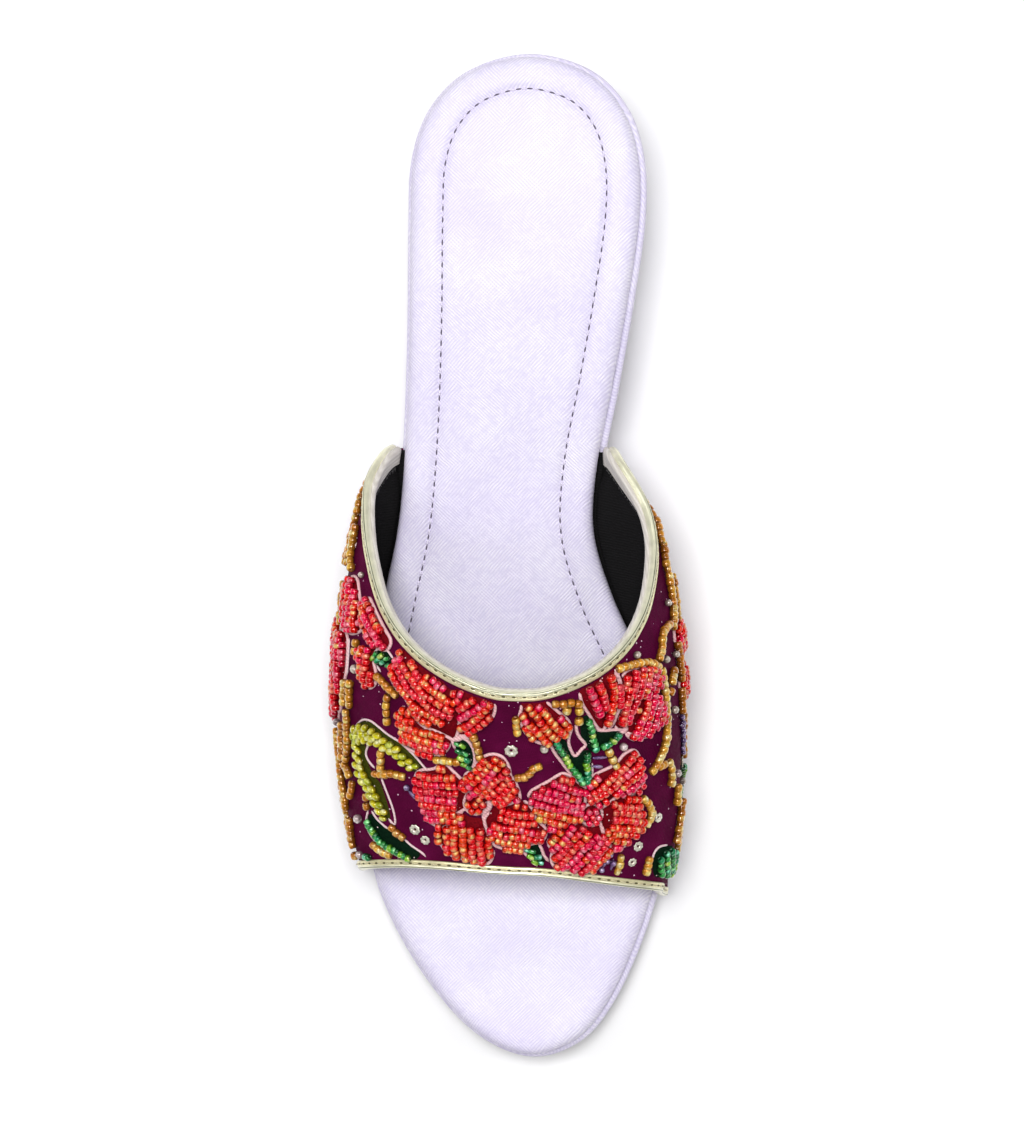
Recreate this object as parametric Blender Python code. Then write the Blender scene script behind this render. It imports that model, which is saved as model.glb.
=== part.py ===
"""A beaded wedge slide sandal for the right foot, as an assembly of its separate pieces.

The toe points to -Y, the medial side is +X and the floor is z = 0. Every size below is in millimetres, and add_solid
turns points into metres. The shape starts from three things: the footbed's outline in plan, the footbed's profile from
the side, and the last's sections, which the upper's own function reads.
"""

import math

import bmesh
import bpy
import numpy as np

MM = 0.001
GAP = 0.3  # between pieces that are cemented together

# Footbed: a padded board in a turned-in cover, with a stitched line that stops under the upper
FOOTBED_THICK = 5.5
STITCH_INSET = 8.0
STITCH_DEPTH = 0.55
STITCH_ENDS = (-48.0, -24.0)  # the stitched groove fades out between these stations

# Wedge: a covered block whose top stands past the footbed as a narrow ledge
LEDGE = 1.35
LEDGE_MEDIAL = 0.35  # more ledge on the medial side, less on the lateral
LEDGE_ROUND = 1.0
WEDGE_FULL_ROUND = 5.0  # where the wedge is thinner than this, its rounded edges shrink with it
WEDGE_TAPER = 0.075  # how far the side leans in, for each millimetre of height

# Outsole
OUTSOLE_THICK = 2.6
OUTSOLE_INSET = 0.5
TOE_SPRING = 5.5
TOE_SPRING_FROM = -48.0
TOE_SPRING_POWER = 1.8
HEEL_BEVEL = 1.2
HEEL_BEVEL_FROM = 111.0

# Upper: one lasted band, open at the toe and at the throat
WALL = 1.6
MARGIN_THICK = 1.2  # the lasting margin is skived where it turns under the footbed
MARGIN_WIDTH = 9.0
FEATHER_ROUND = 1.6
THROAT_FLARE = 1.35  # each binding's inner leg holds the wall this far off the footbed
TOE_FLARE = 1.7  # more at the toe, where the footbed narrows towards the leg
EDGE_FLARE_REACH = (4.5, 11.0)

# Binding: a folded strip round each free edge of the upper
BINDING_LEG = 0.6
BINDING_GAP = 0.4  # the strip stands off the upper by this much on both faces
THROAT_BINDING_WIDTH = 2.4  # on the outer face
TOE_BINDING_WIDTH = 1.5
BINDING_INNER_WIDTH = 4.0
BINDING_ROLL = 0.9

GIRTH_STEPS = 22  # columns of the upper from the feather line to the crest


def table(columns, rows):
    """Named columns from rows of numbers."""
    return dict(zip(columns.split(), np.array(rows, float).T))


# The footbed's edge in plan, from the back of the heel to the tip of the toe
OUTLINE = table(
    "y lateral medial",
    (
        (123.5, 5.0, 5.0),
        (119.7, -9.4, 19.2),
        (110.8, -18.6, 28.0),
        (98.6, -22.9, 31.9),
        (83.4, -23.7, 32.0),
        (63.0, -24.1, 29.0),
        (42.7, -25.0, 25.2),
        (24.4, -26.4, 21.5),
        (8.0, -28.5, 20.5),
        (-8.0, -32.2, 25.0),
        (-26.4, -36.0, 33.0),
        (-45.7, -38.0, 37.8),
        (-64.0, -37.4, 38.0),
        (-80.3, -34.5, 35.5),
        (-95.5, -27.6, 30.8),
        (-109.8, -17.6, 24.2),
        (-119.4, -7.1, 16.4),
        (-123.5, 5.0, 5.0),
    ),
)

# The top of the footbed from the side: heel seat, shank, ball and toe spring
PROFILE = table(
    "y top",
    (
        (125.0, 45.2),
        (96.0, 44.0),
        (70.0, 41.8),
        (40.0, 35.4),
        (10.0, 26.6),
        (-20.0, 19.0),
        (-45.0, 15.4),
        (-70.0, 14.8),
        (-95.0, 16.4),
        (-125.0, 19.8),
    ),
)

# The last's sections: outermost reach of each side, how far it lies above the footbed, and the crest
SECTIONS = table(
    "y lateral medial rise crest_x crest_z fullness",
    (
        (34.0, -30.8, 24.2, 6.5, 2.0, 54.0, 1.70),
        (20.0, -34.4, 30.9, 7.5, 2.6, 61.0, 1.65),
        (8.0, -37.7, 36.2, 8.5, 3.2, 67.5, 1.65),
        (-4.0, -40.2, 39.5, 9.5, 3.8, 71.0, 1.70),
        (-18.0, -41.7, 41.0, 11.0, 4.2, 69.8, 1.85),
        (-32.0, -42.3, 41.9, 11.0, 4.2, 64.8, 2.00),
        (-46.0, -42.2, 42.3, 10.5, 3.6, 57.3, 2.05),
        (-60.0, -41.0, 41.8, 9.5, 2.8, 49.5, 2.10),
        (-74.0, -38.2, 40.0, 8.5, 2.0, 42.5, 2.15),
        (-88.0, -32.9, 34.0, 8.0, 2.0, 36.0, 2.20),
    ),
)

# The two free edges of the upper, by the share of the half girth from the feather line up to the crest
EDGES = table(
    "share throat_lateral throat_medial toe_lateral toe_medial",
    (
        (0.00, 28.7, 28.0, -77.5, -83.5),
        (0.08, 27.1, 26.7, -77.1, -82.9),
        (0.18, 22.6, 22.2, -76.4, -81.9),
        (0.30, 14.0, 12.6, -75.5, -80.7),
        (0.42, 2.6, 0.4, -74.7, -79.7),
        (0.55, -10.5, -13.1, -74.2, -78.6),
        (0.70, -21.8, -23.3, -74.3, -77.3),
        (0.84, -28.3, -28.8, -74.9, -76.1),
        (0.94, -30.9, -31.0, -75.3, -75.6),
        (1.00, -31.2, -31.2, -75.5, -75.5),
    ),
)


def along(rows, column, at, by="y"):
    """A column's value at other stations, on a smooth curve through the table's rows."""
    x, v = rows[by], rows[column]
    if x[0] > x[-1]:
        x, v = x[::-1], v[::-1]
    slope = np.gradient(v, x)
    at = np.clip(at, x[0], x[-1])
    i = np.clip(np.searchsorted(x, at) - 1, 0, len(x) - 2)
    span = x[i + 1] - x[i]
    t = (at - x[i]) / span
    rise = v[i + 1] - v[i]
    a = slope[i] * span - rise
    b = rise - slope[i + 1] * span
    return v[i] + rise * t + t * (1 - t) * (a * (1 - t) + b * t)


def ease(value, start, end):
    """0 before start, 1 after end, with a smooth step between them."""
    t = np.clip((value - start) / (end - start), 0.0, 1.0)
    return t * t * (3.0 - 2.0 * t)


def footbed_top(y):
    return along(PROFILE, "top", y)


def footbed_under(y):
    return footbed_top(y) - FOOTBED_THICK


def floor_side(y):
    """The outsole's underside: flat from heel to ball, with toe spring and a bevelled heel."""
    toe = np.clip((TOE_SPRING_FROM - y) / (TOE_SPRING_FROM - OUTLINE["y"][-1]), 0.0, None)
    heel = np.clip((y - HEEL_BEVEL_FROM) / (OUTLINE["y"][0] - HEEL_BEVEL_FROM), 0.0, None)
    return TOE_SPRING * toe**TOE_SPRING_POWER + HEEL_BEVEL * heel**2


def outline_ring(steps):
    """Points and outward normals round the footbed's edge, from the heel down the lateral side and back up.

    The two sides share their stations, so point i and point -i face each other across the footbed.
    """
    lateral = np.column_stack((OUTLINE["lateral"], OUTLINE["y"]))
    medial = np.column_stack((OUTLINE["medial"], OUTLINE["y"]))
    knots = np.vstack((lateral, medial[-2:0:-1]))
    points, normals = [], []
    for k in range(len(knots)):
        p0, p1, p2, p3 = (knots[(k + j) % len(knots)] for j in (-1, 0, 1, 2))
        c1 = (p2 - p0) / 2
        c2 = p0 - 2.5 * p1 + 2 * p2 - 0.5 * p3
        c3 = (p3 - p0) / 2 + 1.5 * (p1 - p2)
        for t in np.arange(steps) / steps:
            points.append(p1 + c1 * t + c2 * t**2 + c3 * t**3)
            tangent = c1 + 2 * c2 * t + 3 * c3 * t**2
            normals.append(np.array((tangent[1], -tangent[0])) / np.linalg.norm(tangent))
    normals = np.array(normals)
    points = np.array(points)
    if np.sum((points - points.mean(0)) * normals) < 0:
        normals = -normals
    return points, normals


def half_section(y, side, flare, samples=160):
    """The outer face of the upper at each station y, as points (x, z) from the feather line up to the crest."""
    y, side, flare = (np.asarray(v, float)[:, None] for v in (y, side, flare))
    lateral = side < 0
    edge = np.where(lateral, along(OUTLINE, "lateral", y), along(OUTLINE, "medial", y))
    low_x = edge + side * (GAP + WALL + flare)
    low_z = footbed_under(y) - GAP - MARGIN_THICK + FEATHER_ROUND
    wide_x = np.where(lateral, along(SECTIONS, "lateral", y), along(SECTIONS, "medial", y))
    wide_z = footbed_top(y) + along(SECTIONS, "rise", y)
    crest_x, crest_z = along(SECTIONS, "crest_x", y), along(SECTIONS, "crest_z", y)
    power = 2.0 / along(SECTIONS, "fullness", y)

    lower = int(samples * 0.35)
    t = np.linspace(0.0, 1.0, lower, endpoint=False)[None, :]
    x_low = low_x + (wide_x - low_x) * np.sin(t * math.pi / 2)
    z_low = low_z + (wide_z - low_z) * t
    a = np.linspace(0.0, math.pi / 2, samples - lower)[None, :]
    x_high = crest_x + (wide_x - crest_x) * np.cos(a).clip(0) ** power
    z_high = wide_z + (crest_z - wide_z) * np.sin(a) ** power
    return np.hstack((x_low, x_high)), np.hstack((z_low, z_high))


def edge_station(girth, which):
    """Where the upper's throat or toe edge lies, at a place round the girth."""
    share = 1.0 - np.abs(girth)
    lateral = along(EDGES, which + "_lateral", share, by="share")
    medial = along(EDGES, which + "_medial", share, by="share")
    return np.where(np.asarray(girth) < 0, lateral, medial)


def upper_face(girth, y):
    """Points on the upper's outer face.

    girth runs from -1 at the lateral feather line over 0 at the crest to 1 at the medial feather line.
    """
    girth, y = np.broadcast_arrays(np.atleast_1d(girth).astype(float), y)
    side = np.where(girth < 0, -1.0, 1.0)
    at_throat = THROAT_FLARE * (1.0 - ease(edge_station(girth, "throat") - y, *EDGE_FLARE_REACH))
    at_toe = TOE_FLARE * (1.0 - ease(y - edge_station(girth, "toe"), *EDGE_FLARE_REACH))
    flare = np.maximum(at_throat, at_toe)
    x, z = half_section(y, side, flare)
    run = np.hypot(np.diff(x), np.diff(z)).cumsum(axis=1)
    run = np.hstack((np.zeros((len(run), 1)), run))
    goal = (1.0 - np.abs(girth)) * run[:, -1]
    i = np.clip((run < goal[:, None]).sum(axis=1) - 1, 0, run.shape[1] - 2)
    row = np.arange(len(i))
    t = (goal - run[row, i]) / (run[row, i + 1] - run[row, i])
    return np.column_stack((x[row, i] * (1 - t) + x[row, i + 1] * t, y, z[row, i] * (1 - t) + z[row, i + 1] * t))


def face_frame(girth, y, step=0.004):
    """Points on the upper's outer face, how they move with girth and with y, and the outward normals."""
    around = (upper_face(girth + step, y) - upper_face(girth - step, y)) / (2 * step)
    ahead = (upper_face(girth, y + 0.25) - upper_face(girth, y - 0.25)) / 0.5
    return upper_face(girth, y), around, ahead, unit(np.cross(around, ahead))


def slide(girth, y, move):
    """Slides places on the outer face by a vector each, and keeps them on the face."""
    goal = upper_face(girth, y) + move
    for _ in range(4):
        here, around, ahead, _ = face_frame(girth, y)
        miss = goal - here
        aa, ab, bb = (np.sum(p * q, axis=1) for p, q in ((around, around), (around, ahead), (ahead, ahead)))
        am, bm = np.sum(around * miss, axis=1), np.sum(ahead * miss, axis=1)
        spread = aa * bb - ab * ab
        girth = np.clip(girth + (am * bb - bm * ab) / spread, -1.0, 1.0)
        y = y + (bm * aa - am * ab) / spread
    return girth, y


def margin_face(depth, side, y):
    """Points on the underside of the lasting margin: depth 0 at the feather line's lower end, 1 at its inner end."""
    top = upper_face(np.full(len(y), float(side)), y)
    turn = min(depth / 0.4, 1.0) * math.pi / 2
    x = top[:, 0] - side * FEATHER_ROUND * (1 - math.cos(turn))
    z = top[:, 2] - FEATHER_ROUND * math.sin(turn)
    edge = np.where(side < 0, along(OUTLINE, "lateral", y), along(OUTLINE, "medial", y))
    tip = edge - side * MARGIN_WIDTH
    flat = max(depth - 0.4, 0.0) / 0.6
    return np.column_stack((x + (tip - x) * flat, top[:, 1], z))


def unit(vectors):
    return vectors / np.linalg.norm(vectors, axis=-1, keepdims=True)


def add_solid(name, points, faces, material):
    """A closed mesh object from points in millimetres."""
    mesh = bpy.data.meshes.new(name)
    mesh.from_pydata([tuple(p) for p in np.asarray(points) * MM], [], faces)
    bm = bmesh.new()
    bm.from_mesh(mesh)
    bmesh.ops.recalc_face_normals(bm, faces=bm.faces)
    bm.to_mesh(mesh)
    bm.free()
    mesh.materials.append(material)
    obj = bpy.data.objects.new(name, mesh)
    bpy.context.scene.collection.objects.link(obj)
    mesh.shade_smooth()
    mesh.set_sharp_from_angle(angle=math.radians(40))
    return obj


def add_material(name, colour, roughness, metallic=0.0):
    material = bpy.data.materials.new(name)
    material.use_nodes = True
    shader = material.node_tree.nodes["Principled BSDF"]
    shader.inputs["Base Color"].default_value = (*colour, 1.0)
    shader.inputs["Roughness"].default_value = roughness
    shader.inputs["Metallic"].default_value = metallic
    material.diffuse_color = (*colour, 1.0)
    return material


def ring_faces(rings, count):
    """Quads between rings of count points each, stacked one after another."""
    faces = []
    for r in range(rings - 1):
        for i in range(count):
            j = (i + 1) % count
            faces.append((r * count + i, r * count + j, (r + 1) * count + j, (r + 1) * count + i))
    return faces


def cap(points, ring_start, count, splits=1, crown=0.0):
    """Closes a ring with strips from side to side. Adds the points between, and returns the faces."""
    half = count // 2
    rows = []
    for i in range(half + 1):
        left, right = ring_start + i, ring_start + (count - i) % count
        row = [left]
        if left != right:
            for s in range(1, splits):
                t = s / splits
                middle = points[left] * (1 - t) + points[right] * t
                middle[2] += crown * 4 * t * (1 - t)
                points.append(middle)
                row.append(len(points) - 1)
            row.append(right)
        rows.append(row)
    faces = []
    for near, far in zip(rows, rows[1:]):
        if len(near) == 1:
            faces += [(near[0], far[k], far[k + 1]) for k in range(len(far) - 1)]
        elif len(far) == 1:
            faces += [(near[k], near[k + 1], far[0]) for k in range(len(near) - 1)]
        else:
            faces += [(near[k], near[k + 1], far[k + 1], far[k]) for k in range(len(near) - 1)]
    return faces


def ring_solid(name, rings, material, top_splits=1, crown=0.0):
    """A solid from rings stacked from its lower cap to its upper one."""
    count = len(rings[0])
    points = [np.array(p, float) for ring in rings for p in ring]
    faces = ring_faces(len(rings), count)
    faces += cap(points, 0, count)
    faces += cap(points, (len(rings) - 1) * count, count, top_splits, crown)
    return add_solid(name, points, faces, material)


def plan_ring(points, normals, offset, height):
    """A ring at an offset from the footbed's edge, with its height read from a function of y."""
    plan = points + normals * np.reshape(offset, (-1, 1))
    return np.column_stack((plan, height(plan[:, 1])))


def make_footbed(points, normals, material):
    """The padded footbed: a rolled edge, then the stitched groove, then the soft middle."""
    groove = STITCH_DEPTH * ease(points[:, 1], *STITCH_ENDS)
    profile = (  # inset from the edge, height over the underside, share of the groove's depth
        (0.9, 0.0, 0.0),
        (0.0, 1.2, 0.0),
        (0.0, 2.9, 0.0),
        (0.35, 4.0, 0.0),
        (1.2, 4.85, 0.0),
        (2.6, 5.35, 0.0),
        (4.6, 5.5, 0.0),
        (6.8, 5.45, 0.25),
        (STITCH_INSET, 5.45, 1.0),
        (9.6, 5.5, 0.15),
    )
    rings = []
    for inset, height, share in profile:
        ring = plan_ring(points, normals, -inset, footbed_under)
        ring[:, 2] += height - groove * share
        rings.append(ring)
    return ring_solid("footbed", rings, material, top_splits=3, crown=0.35)


def ledge_offset(normals):
    return LEDGE + LEDGE_MEDIAL * normals[:, 0]


def wedge_foot(y):
    """The wedge's underside."""
    return floor_side(y) + OUTSOLE_THICK + GAP


def side_lean(points):
    """How far the wedge's side leans in from its ledge to its foot."""
    y = points[:, 1]
    return WEDGE_TAPER * (footbed_under(y) - GAP - wedge_foot(y))


def make_wedge(points, normals, material):
    """The covered wedge: ledge, leaning side and rounded lower edge."""
    ledge = ledge_offset(normals)
    lean = side_lean(points)
    rings = []

    def add(offset, share, foot, drop):
        """A ring at a share of the side that lies between foot above the wedge's foot and drop under its top.

        Both shrink where the wedge is thin, so that each ring stays above the one before it.
        """
        plan = points + normals * offset[:, None]
        over = footbed_under(plan[:, 1]) - GAP
        under = wedge_foot(plan[:, 1])
        thin = np.minimum((over - under) / WEDGE_FULL_ROUND, 1.0)
        low = under + foot * thin
        rings.append(np.column_stack((plan, low + (over - drop * thin - low) * share)))

    add(ledge - lean - 1.3, 0.0, 0.0, 0.0)
    add(ledge - lean - 0.4, 0.0, 0.35, 0.0)
    add(ledge - lean, 0.0, 1.2, 0.0)
    for share in (0.3, 0.55, 0.78):
        add(ledge - lean * (1 - share), share, 1.2, 1.3)
    add(ledge - lean * 0.04, 1.0, 0.0, 1.3)
    add(ledge - 0.25, 1.0, 0.0, 0.4)
    add(ledge - LEDGE_ROUND, 1.0, 0.0, 0.0)
    return ring_solid("wedge", rings, material)


def make_outsole(points, normals, material):
    """The thin outsole, a little inside the wedge's foot."""
    offset = ledge_offset(normals) - side_lean(points) - OUTSOLE_INSET
    rings = [
        plan_ring(points, normals, offset - 0.7, floor_side),
        plan_ring(points, normals, offset - 0.15, lambda y: floor_side(y) + 0.45),
        plan_ring(points, normals, offset, lambda y: floor_side(y) + 1.1),
        plan_ring(points, normals, offset, lambda y: floor_side(y) + OUTSOLE_THICK - 0.4),
        plan_ring(points, normals, offset - 0.4, lambda y: floor_side(y) + OUTSOLE_THICK),
    ]
    return ring_solid("outsole", rings, material)


def grid_normals(grid):
    """Unit normals of a grid of points, pointing away from the footbed's middle."""
    across = np.gradient(grid, axis=0)
    down = np.gradient(grid, axis=1)
    return unit(np.cross(across, down))


def girth_places():
    """Places round the girth where the upper and its bindings have their points, closer together low down."""
    half = np.linspace(0.0, 1.0, GIRTH_STEPS) ** 1.15
    return np.concatenate((half - 1.0, 1.0 - half[-2::-1]))


def upper_grid(rows):
    """The upper's outer face as a grid with the wall's thickness at each column.

    Columns follow the girth from the lateral margin to the medial one, and rows run from the toe edge to the throat.
    """
    even = np.linspace(0.0, 1.0, rows + 1)
    weights = even - 0.11 * np.sin(2 * math.pi * even)  # rows lie closer together near both edges
    depths = (1.0, 0.4, 0.27, 0.13)

    def stations(girth):
        toe, throat = edge_station(girth, "toe"), edge_station(girth, "throat")
        return toe + (throat - toe) * weights

    places = girth_places()
    columns = [margin_face(depth, -1, stations(-1.0)) for depth in depths]
    columns += [upper_face(girth, stations(girth)) for girth in places]
    columns += [margin_face(depth, 1, stations(1.0)) for depth in depths[::-1]]
    skived = [MARGIN_THICK + (WALL - MARGIN_THICK) * (1 - min(depth / 0.4, 1.0)) for depth in depths]
    thick = skived + [WALL] * len(places) + skived[::-1]
    return np.array(columns), np.array(thick)


def make_upper(material):
    """The upper as one hollow solid: outer face, inner face and the two free edges."""
    outer, thick = upper_grid(rows=19)
    inner = outer - grid_normals(outer) * thick[:, None, None]
    wide, deep = outer.shape[:2]
    points = np.concatenate((outer.reshape(-1, 3), inner.reshape(-1, 3)))

    def at(i, j, face):
        return face * wide * deep + i * deep + j

    faces = []
    for i in range(wide - 1):
        for j in range(deep - 1):
            for face in (0, 1):
                faces.append((at(i, j, face), at(i + 1, j, face), at(i + 1, j + 1, face), at(i, j + 1, face)))
        for j in (0, deep - 1):
            faces.append((at(i, j, 0), at(i + 1, j, 0), at(i + 1, j, 1), at(i, j, 1)))
    for j in range(deep - 1):
        for i in (0, wide - 1):
            faces.append((at(i, j, 0), at(i, j + 1, 0), at(i, j + 1, 1), at(i, j, 1)))
    return add_solid("upper", points, faces, material)


def binding_profile(width):
    """The folded strip's section: distance in from the upper's edge, and height over its outer face."""
    inside = -WALL - BINDING_GAP
    skin = BINDING_GAP + BINDING_LEG
    back = inside - BINDING_LEG
    return (
        (width, BINDING_GAP),
        (width, skin - 0.15),
        (width * 0.5, skin),
        (0.3, skin + 0.1),
        (-0.5, BINDING_GAP + 0.15),
        (-BINDING_GAP - BINDING_ROLL * 0.75, -WALL / 2),
        (-0.5, inside - 0.15),
        (0.3, back - 0.05),
        (BINDING_INNER_WIDTH * 0.5, back),
        (BINDING_INNER_WIDTH, back + 0.1),
        (BINDING_INNER_WIDTH, inside),
        (BINDING_INNER_WIDTH * 0.5, inside),
        (-BINDING_GAP, inside),
        (-BINDING_GAP, BINDING_GAP),
        (width * 0.5, BINDING_GAP),
    )


def make_binding(name, which, width, material):
    """A folded strip swept round the upper's toe edge or throat, from just above one feather line to the other.

    Its legs follow the upper's two faces at every distance from the edge.
    """
    places = girth_places()[1:-1]
    stations = edge_station(places, which)
    inward = 1.0 if which == "toe" else -1.0
    path, _, _, _ = face_frame(places, stations)
    tangent = unit(np.gradient(path, axis=0))
    into = unit(upper_face(places, stations + inward * 0.4) - path)
    into = unit(into - tangent * np.sum(into * tangent, axis=1, keepdims=True))
    rings = []
    for depth, height in binding_profile(width):
        girth, y = slide(places, stations, into * max(depth, 0.0))
        base, _, _, normal = face_frame(girth, y)
        rings.append(base + into * min(depth, 0.0) + normal * height)
    around = len(rings)
    points = np.array(rings).transpose(1, 0, 2).reshape(-1, 3)
    faces = ring_faces(len(places), around)
    for end in (0, len(places) - 1):
        faces.append(tuple(end * around + k for k in range(around)))
    return add_solid(name, points, faces, material)


def make_rebate(wedge, points, normals):
    """Cuts the wedge's top where the lasting margin lies under the footbed, one cutter for each side."""
    drop = GAP * 2 + MARGIN_THICK
    clear = 0.4
    half = len(points) // 2
    for side, name in ((-1, "lateral"), (1, "medial")):
        toe = float(edge_station(side, "toe")) - clear
        throat = float(edge_station(side, "throat")) + clear
        stations = np.linspace(toe, throat, 22)
        edge = along(OUTLINE, name, stations)
        inner = edge - side * (MARGIN_WIDTH + clear)
        outer = edge + side * (LEDGE + LEDGE_MEDIAL + 2.0)
        floor = footbed_under(stations) - drop
        roof = footbed_under(stations) + 2.0
        loops = [
            np.column_stack((x, stations, z))
            for x, z in ((inner, floor), (outer, floor), (outer, roof), (inner, roof))
        ]
        corners = np.array(loops).transpose(1, 0, 2).reshape(-1, 3)
        faces = ring_faces(len(stations), 4) + [(0, 1, 2, 3), tuple(len(corners) - 4 + k for k in range(4))]
        cutter = add_solid("rebate_" + name, corners, faces, wedge.data.materials[0])
        cutter.hide_render = True
        cutter.display_type = "WIRE"
        cut = wedge.modifiers.new("rebate_" + name, "BOOLEAN")
        cut.operation = "DIFFERENCE"
        cut.solver = "EXACT"
        cut.object = cutter


def main():
    for obj in list(bpy.data.objects):
        bpy.data.objects.remove(obj)
    cover = add_material("lilac_cover", (0.78, 0.72, 0.88), 0.55)
    rubber = add_material("outsole_rubber", (0.42, 0.36, 0.33), 0.8)
    cloth = add_material("plum_cloth", (0.13, 0.012, 0.055), 0.75)
    gold = add_material("gold_binding", (0.78, 0.72, 0.47), 0.32, metallic=0.85)

    points, normals = outline_ring(steps=3)
    make_outsole(points, normals, rubber)
    wedge = make_wedge(points, normals, cover)
    make_rebate(wedge, points, normals)
    make_footbed(points, normals, cover)
    make_upper(cloth)
    make_binding("throat_binding", "throat", THROAT_BINDING_WIDTH, gold)
    make_binding("toe_binding", "toe", TOE_BINDING_WIDTH, gold)


main()
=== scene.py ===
"""The looks of the beaded wedge sandal: its covers, cloth, bindings, stitches and beadwork.

Sizes are in millimetres, as in the model's own source, and add_mesh turns them into metres. The toe points
to -Y and the medial side is +X. A place on the upper is given as on a chart of the band laid flat: s is the
distance round it from its crest, negative on the lateral side, and y is the station along the shoe.
"""

import math

import bmesh
import bpy
import numpy as np
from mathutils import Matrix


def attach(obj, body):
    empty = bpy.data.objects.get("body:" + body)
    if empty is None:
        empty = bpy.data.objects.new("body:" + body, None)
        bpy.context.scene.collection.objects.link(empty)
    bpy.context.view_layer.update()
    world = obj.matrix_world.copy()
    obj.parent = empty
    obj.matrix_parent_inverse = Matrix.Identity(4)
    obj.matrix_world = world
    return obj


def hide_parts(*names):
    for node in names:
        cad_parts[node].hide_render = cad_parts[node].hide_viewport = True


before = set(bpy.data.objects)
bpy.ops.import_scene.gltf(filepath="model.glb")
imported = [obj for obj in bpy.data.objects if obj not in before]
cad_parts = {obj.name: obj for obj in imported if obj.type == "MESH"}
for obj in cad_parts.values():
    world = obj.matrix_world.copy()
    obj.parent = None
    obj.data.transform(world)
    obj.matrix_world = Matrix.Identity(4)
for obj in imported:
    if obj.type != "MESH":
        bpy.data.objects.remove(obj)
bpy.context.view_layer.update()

MM = 0.001
TURN = 2 * math.pi
rng = np.random.default_rng(7)

# ---------------------------------------------------------------- sizes shared with the model

GAP = 0.3
FOOTBED_THICK = 5.5
STITCH_INSET = 8.0
STITCH_ENDS = (-48.0, -24.0)
WEDGE_FULL_ROUND = 5.0
LEDGE = 1.35
LEDGE_MEDIAL = 0.35
WEDGE_TAPER = 0.075
OUTSOLE_THICK = 2.6
OUTSOLE_INSET = 0.5
TOE_SPRING = 5.5
TOE_SPRING_FROM = -48.0
TOE_SPRING_POWER = 1.8
HEEL_BEVEL = 1.2
HEEL_BEVEL_FROM = 111.0
WALL = 1.6
MARGIN_THICK = 1.2
MARGIN_WIDTH = 9.0
FEATHER_ROUND = 1.6
THROAT_FLARE = 1.35
TOE_FLARE = 1.7
EDGE_FLARE_REACH = (4.5, 11.0)

# ---------------------------------------------------------------- sizes of the looks alone

# Covers and bindings
CROWN = 0.4
CROWN_FULL_WIDTH = 40.0
GROOVE_TOP = 5.44
GROOVE_DEPTH = 0.75
STITCH_PITCH = 2.75
STITCHES_FROM = -34.0
FOOT_ROUND = 0.95
LEDGE_ROUND = 1.4
RIB_BORDER = (4.2, 5.6)
RIB_TOE_END = (-114.0, -111.0)
RIB_HEEL_END = (109.0, 112.0)
RIB_BOW = 0.02
RIB_PITCH = 4.6
RIB_DEPTH = 0.55
CLOTH_THICK = 0.75
FLAP_THICK = 0.7
BINDING_STITCH_PITCH = 2.45
FRAY_PITCH = 0.42
FACE_SPAN = (-87.0, 33.0)
HATCH_PITCH = 0.64
WEAVE_PITCH = 0.42
# Beadwork
ROW_PITCH = 1.88
BEAD_PITCH = 1.36
PETAL_MARGIN = 0.42
PETAL_PAD = 0.95
CORD_LIFT = 0.26
STRAY_SHADE = 0.26  # the share of beads that don't keep to their string's shade
# Least distances from the throat's rim and from the toe's
BEAD_CLEAR = (2.65, 2.2)
PETAL_CLEAR = (2.3, 1.8)
PAD_CLEAR = (2.15, 1.5)
CORD_CLEAR = (2.5, 1.9)
BESIDE_THROAT = (3.0, 0.0)


def table(columns, rows):
    """Named columns from rows of numbers."""
    return dict(zip(columns.split(), np.array(rows, float).T))


OUTLINE = table(
    "y lateral medial",
    (
        (123.5, 5.0, 5.0),
        (119.7, -9.4, 19.2),
        (110.8, -18.6, 28.0),
        (98.6, -22.9, 31.9),
        (83.4, -23.7, 32.0),
        (63.0, -24.1, 29.0),
        (42.7, -25.0, 25.2),
        (24.4, -26.4, 21.5),
        (8.0, -28.5, 20.5),
        (-8.0, -32.2, 25.0),
        (-26.4, -36.0, 33.0),
        (-45.7, -38.0, 37.8),
        (-64.0, -37.4, 38.0),
        (-80.3, -34.5, 35.5),
        (-95.5, -27.6, 30.8),
        (-109.8, -17.6, 24.2),
        (-119.4, -7.1, 16.4),
        (-123.5, 5.0, 5.0),
    ),
)

PROFILE = table(
    "y top",
    (
        (125.0, 45.2),
        (96.0, 44.0),
        (70.0, 41.8),
        (40.0, 35.4),
        (10.0, 26.6),
        (-20.0, 19.0),
        (-45.0, 15.4),
        (-70.0, 14.8),
        (-95.0, 16.4),
        (-125.0, 19.8),
    ),
)

SECTIONS = table(
    "y lateral medial rise crest_x crest_z fullness",
    (
        (34.0, -30.8, 24.2, 6.5, 2.0, 54.0, 1.70),
        (20.0, -34.4, 30.9, 7.5, 2.6, 61.0, 1.65),
        (8.0, -37.7, 36.2, 8.5, 3.2, 67.5, 1.65),
        (-4.0, -40.2, 39.5, 9.5, 3.8, 71.0, 1.70),
        (-18.0, -41.7, 41.0, 11.0, 4.2, 69.8, 1.85),
        (-32.0, -42.3, 41.9, 11.0, 4.2, 64.8, 2.00),
        (-46.0, -42.2, 42.3, 10.5, 3.6, 57.3, 2.05),
        (-60.0, -41.0, 41.8, 9.5, 2.8, 49.5, 2.10),
        (-74.0, -38.2, 40.0, 8.5, 2.0, 42.5, 2.15),
        (-88.0, -32.9, 34.0, 8.0, 2.0, 36.0, 2.20),
    ),
)

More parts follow.
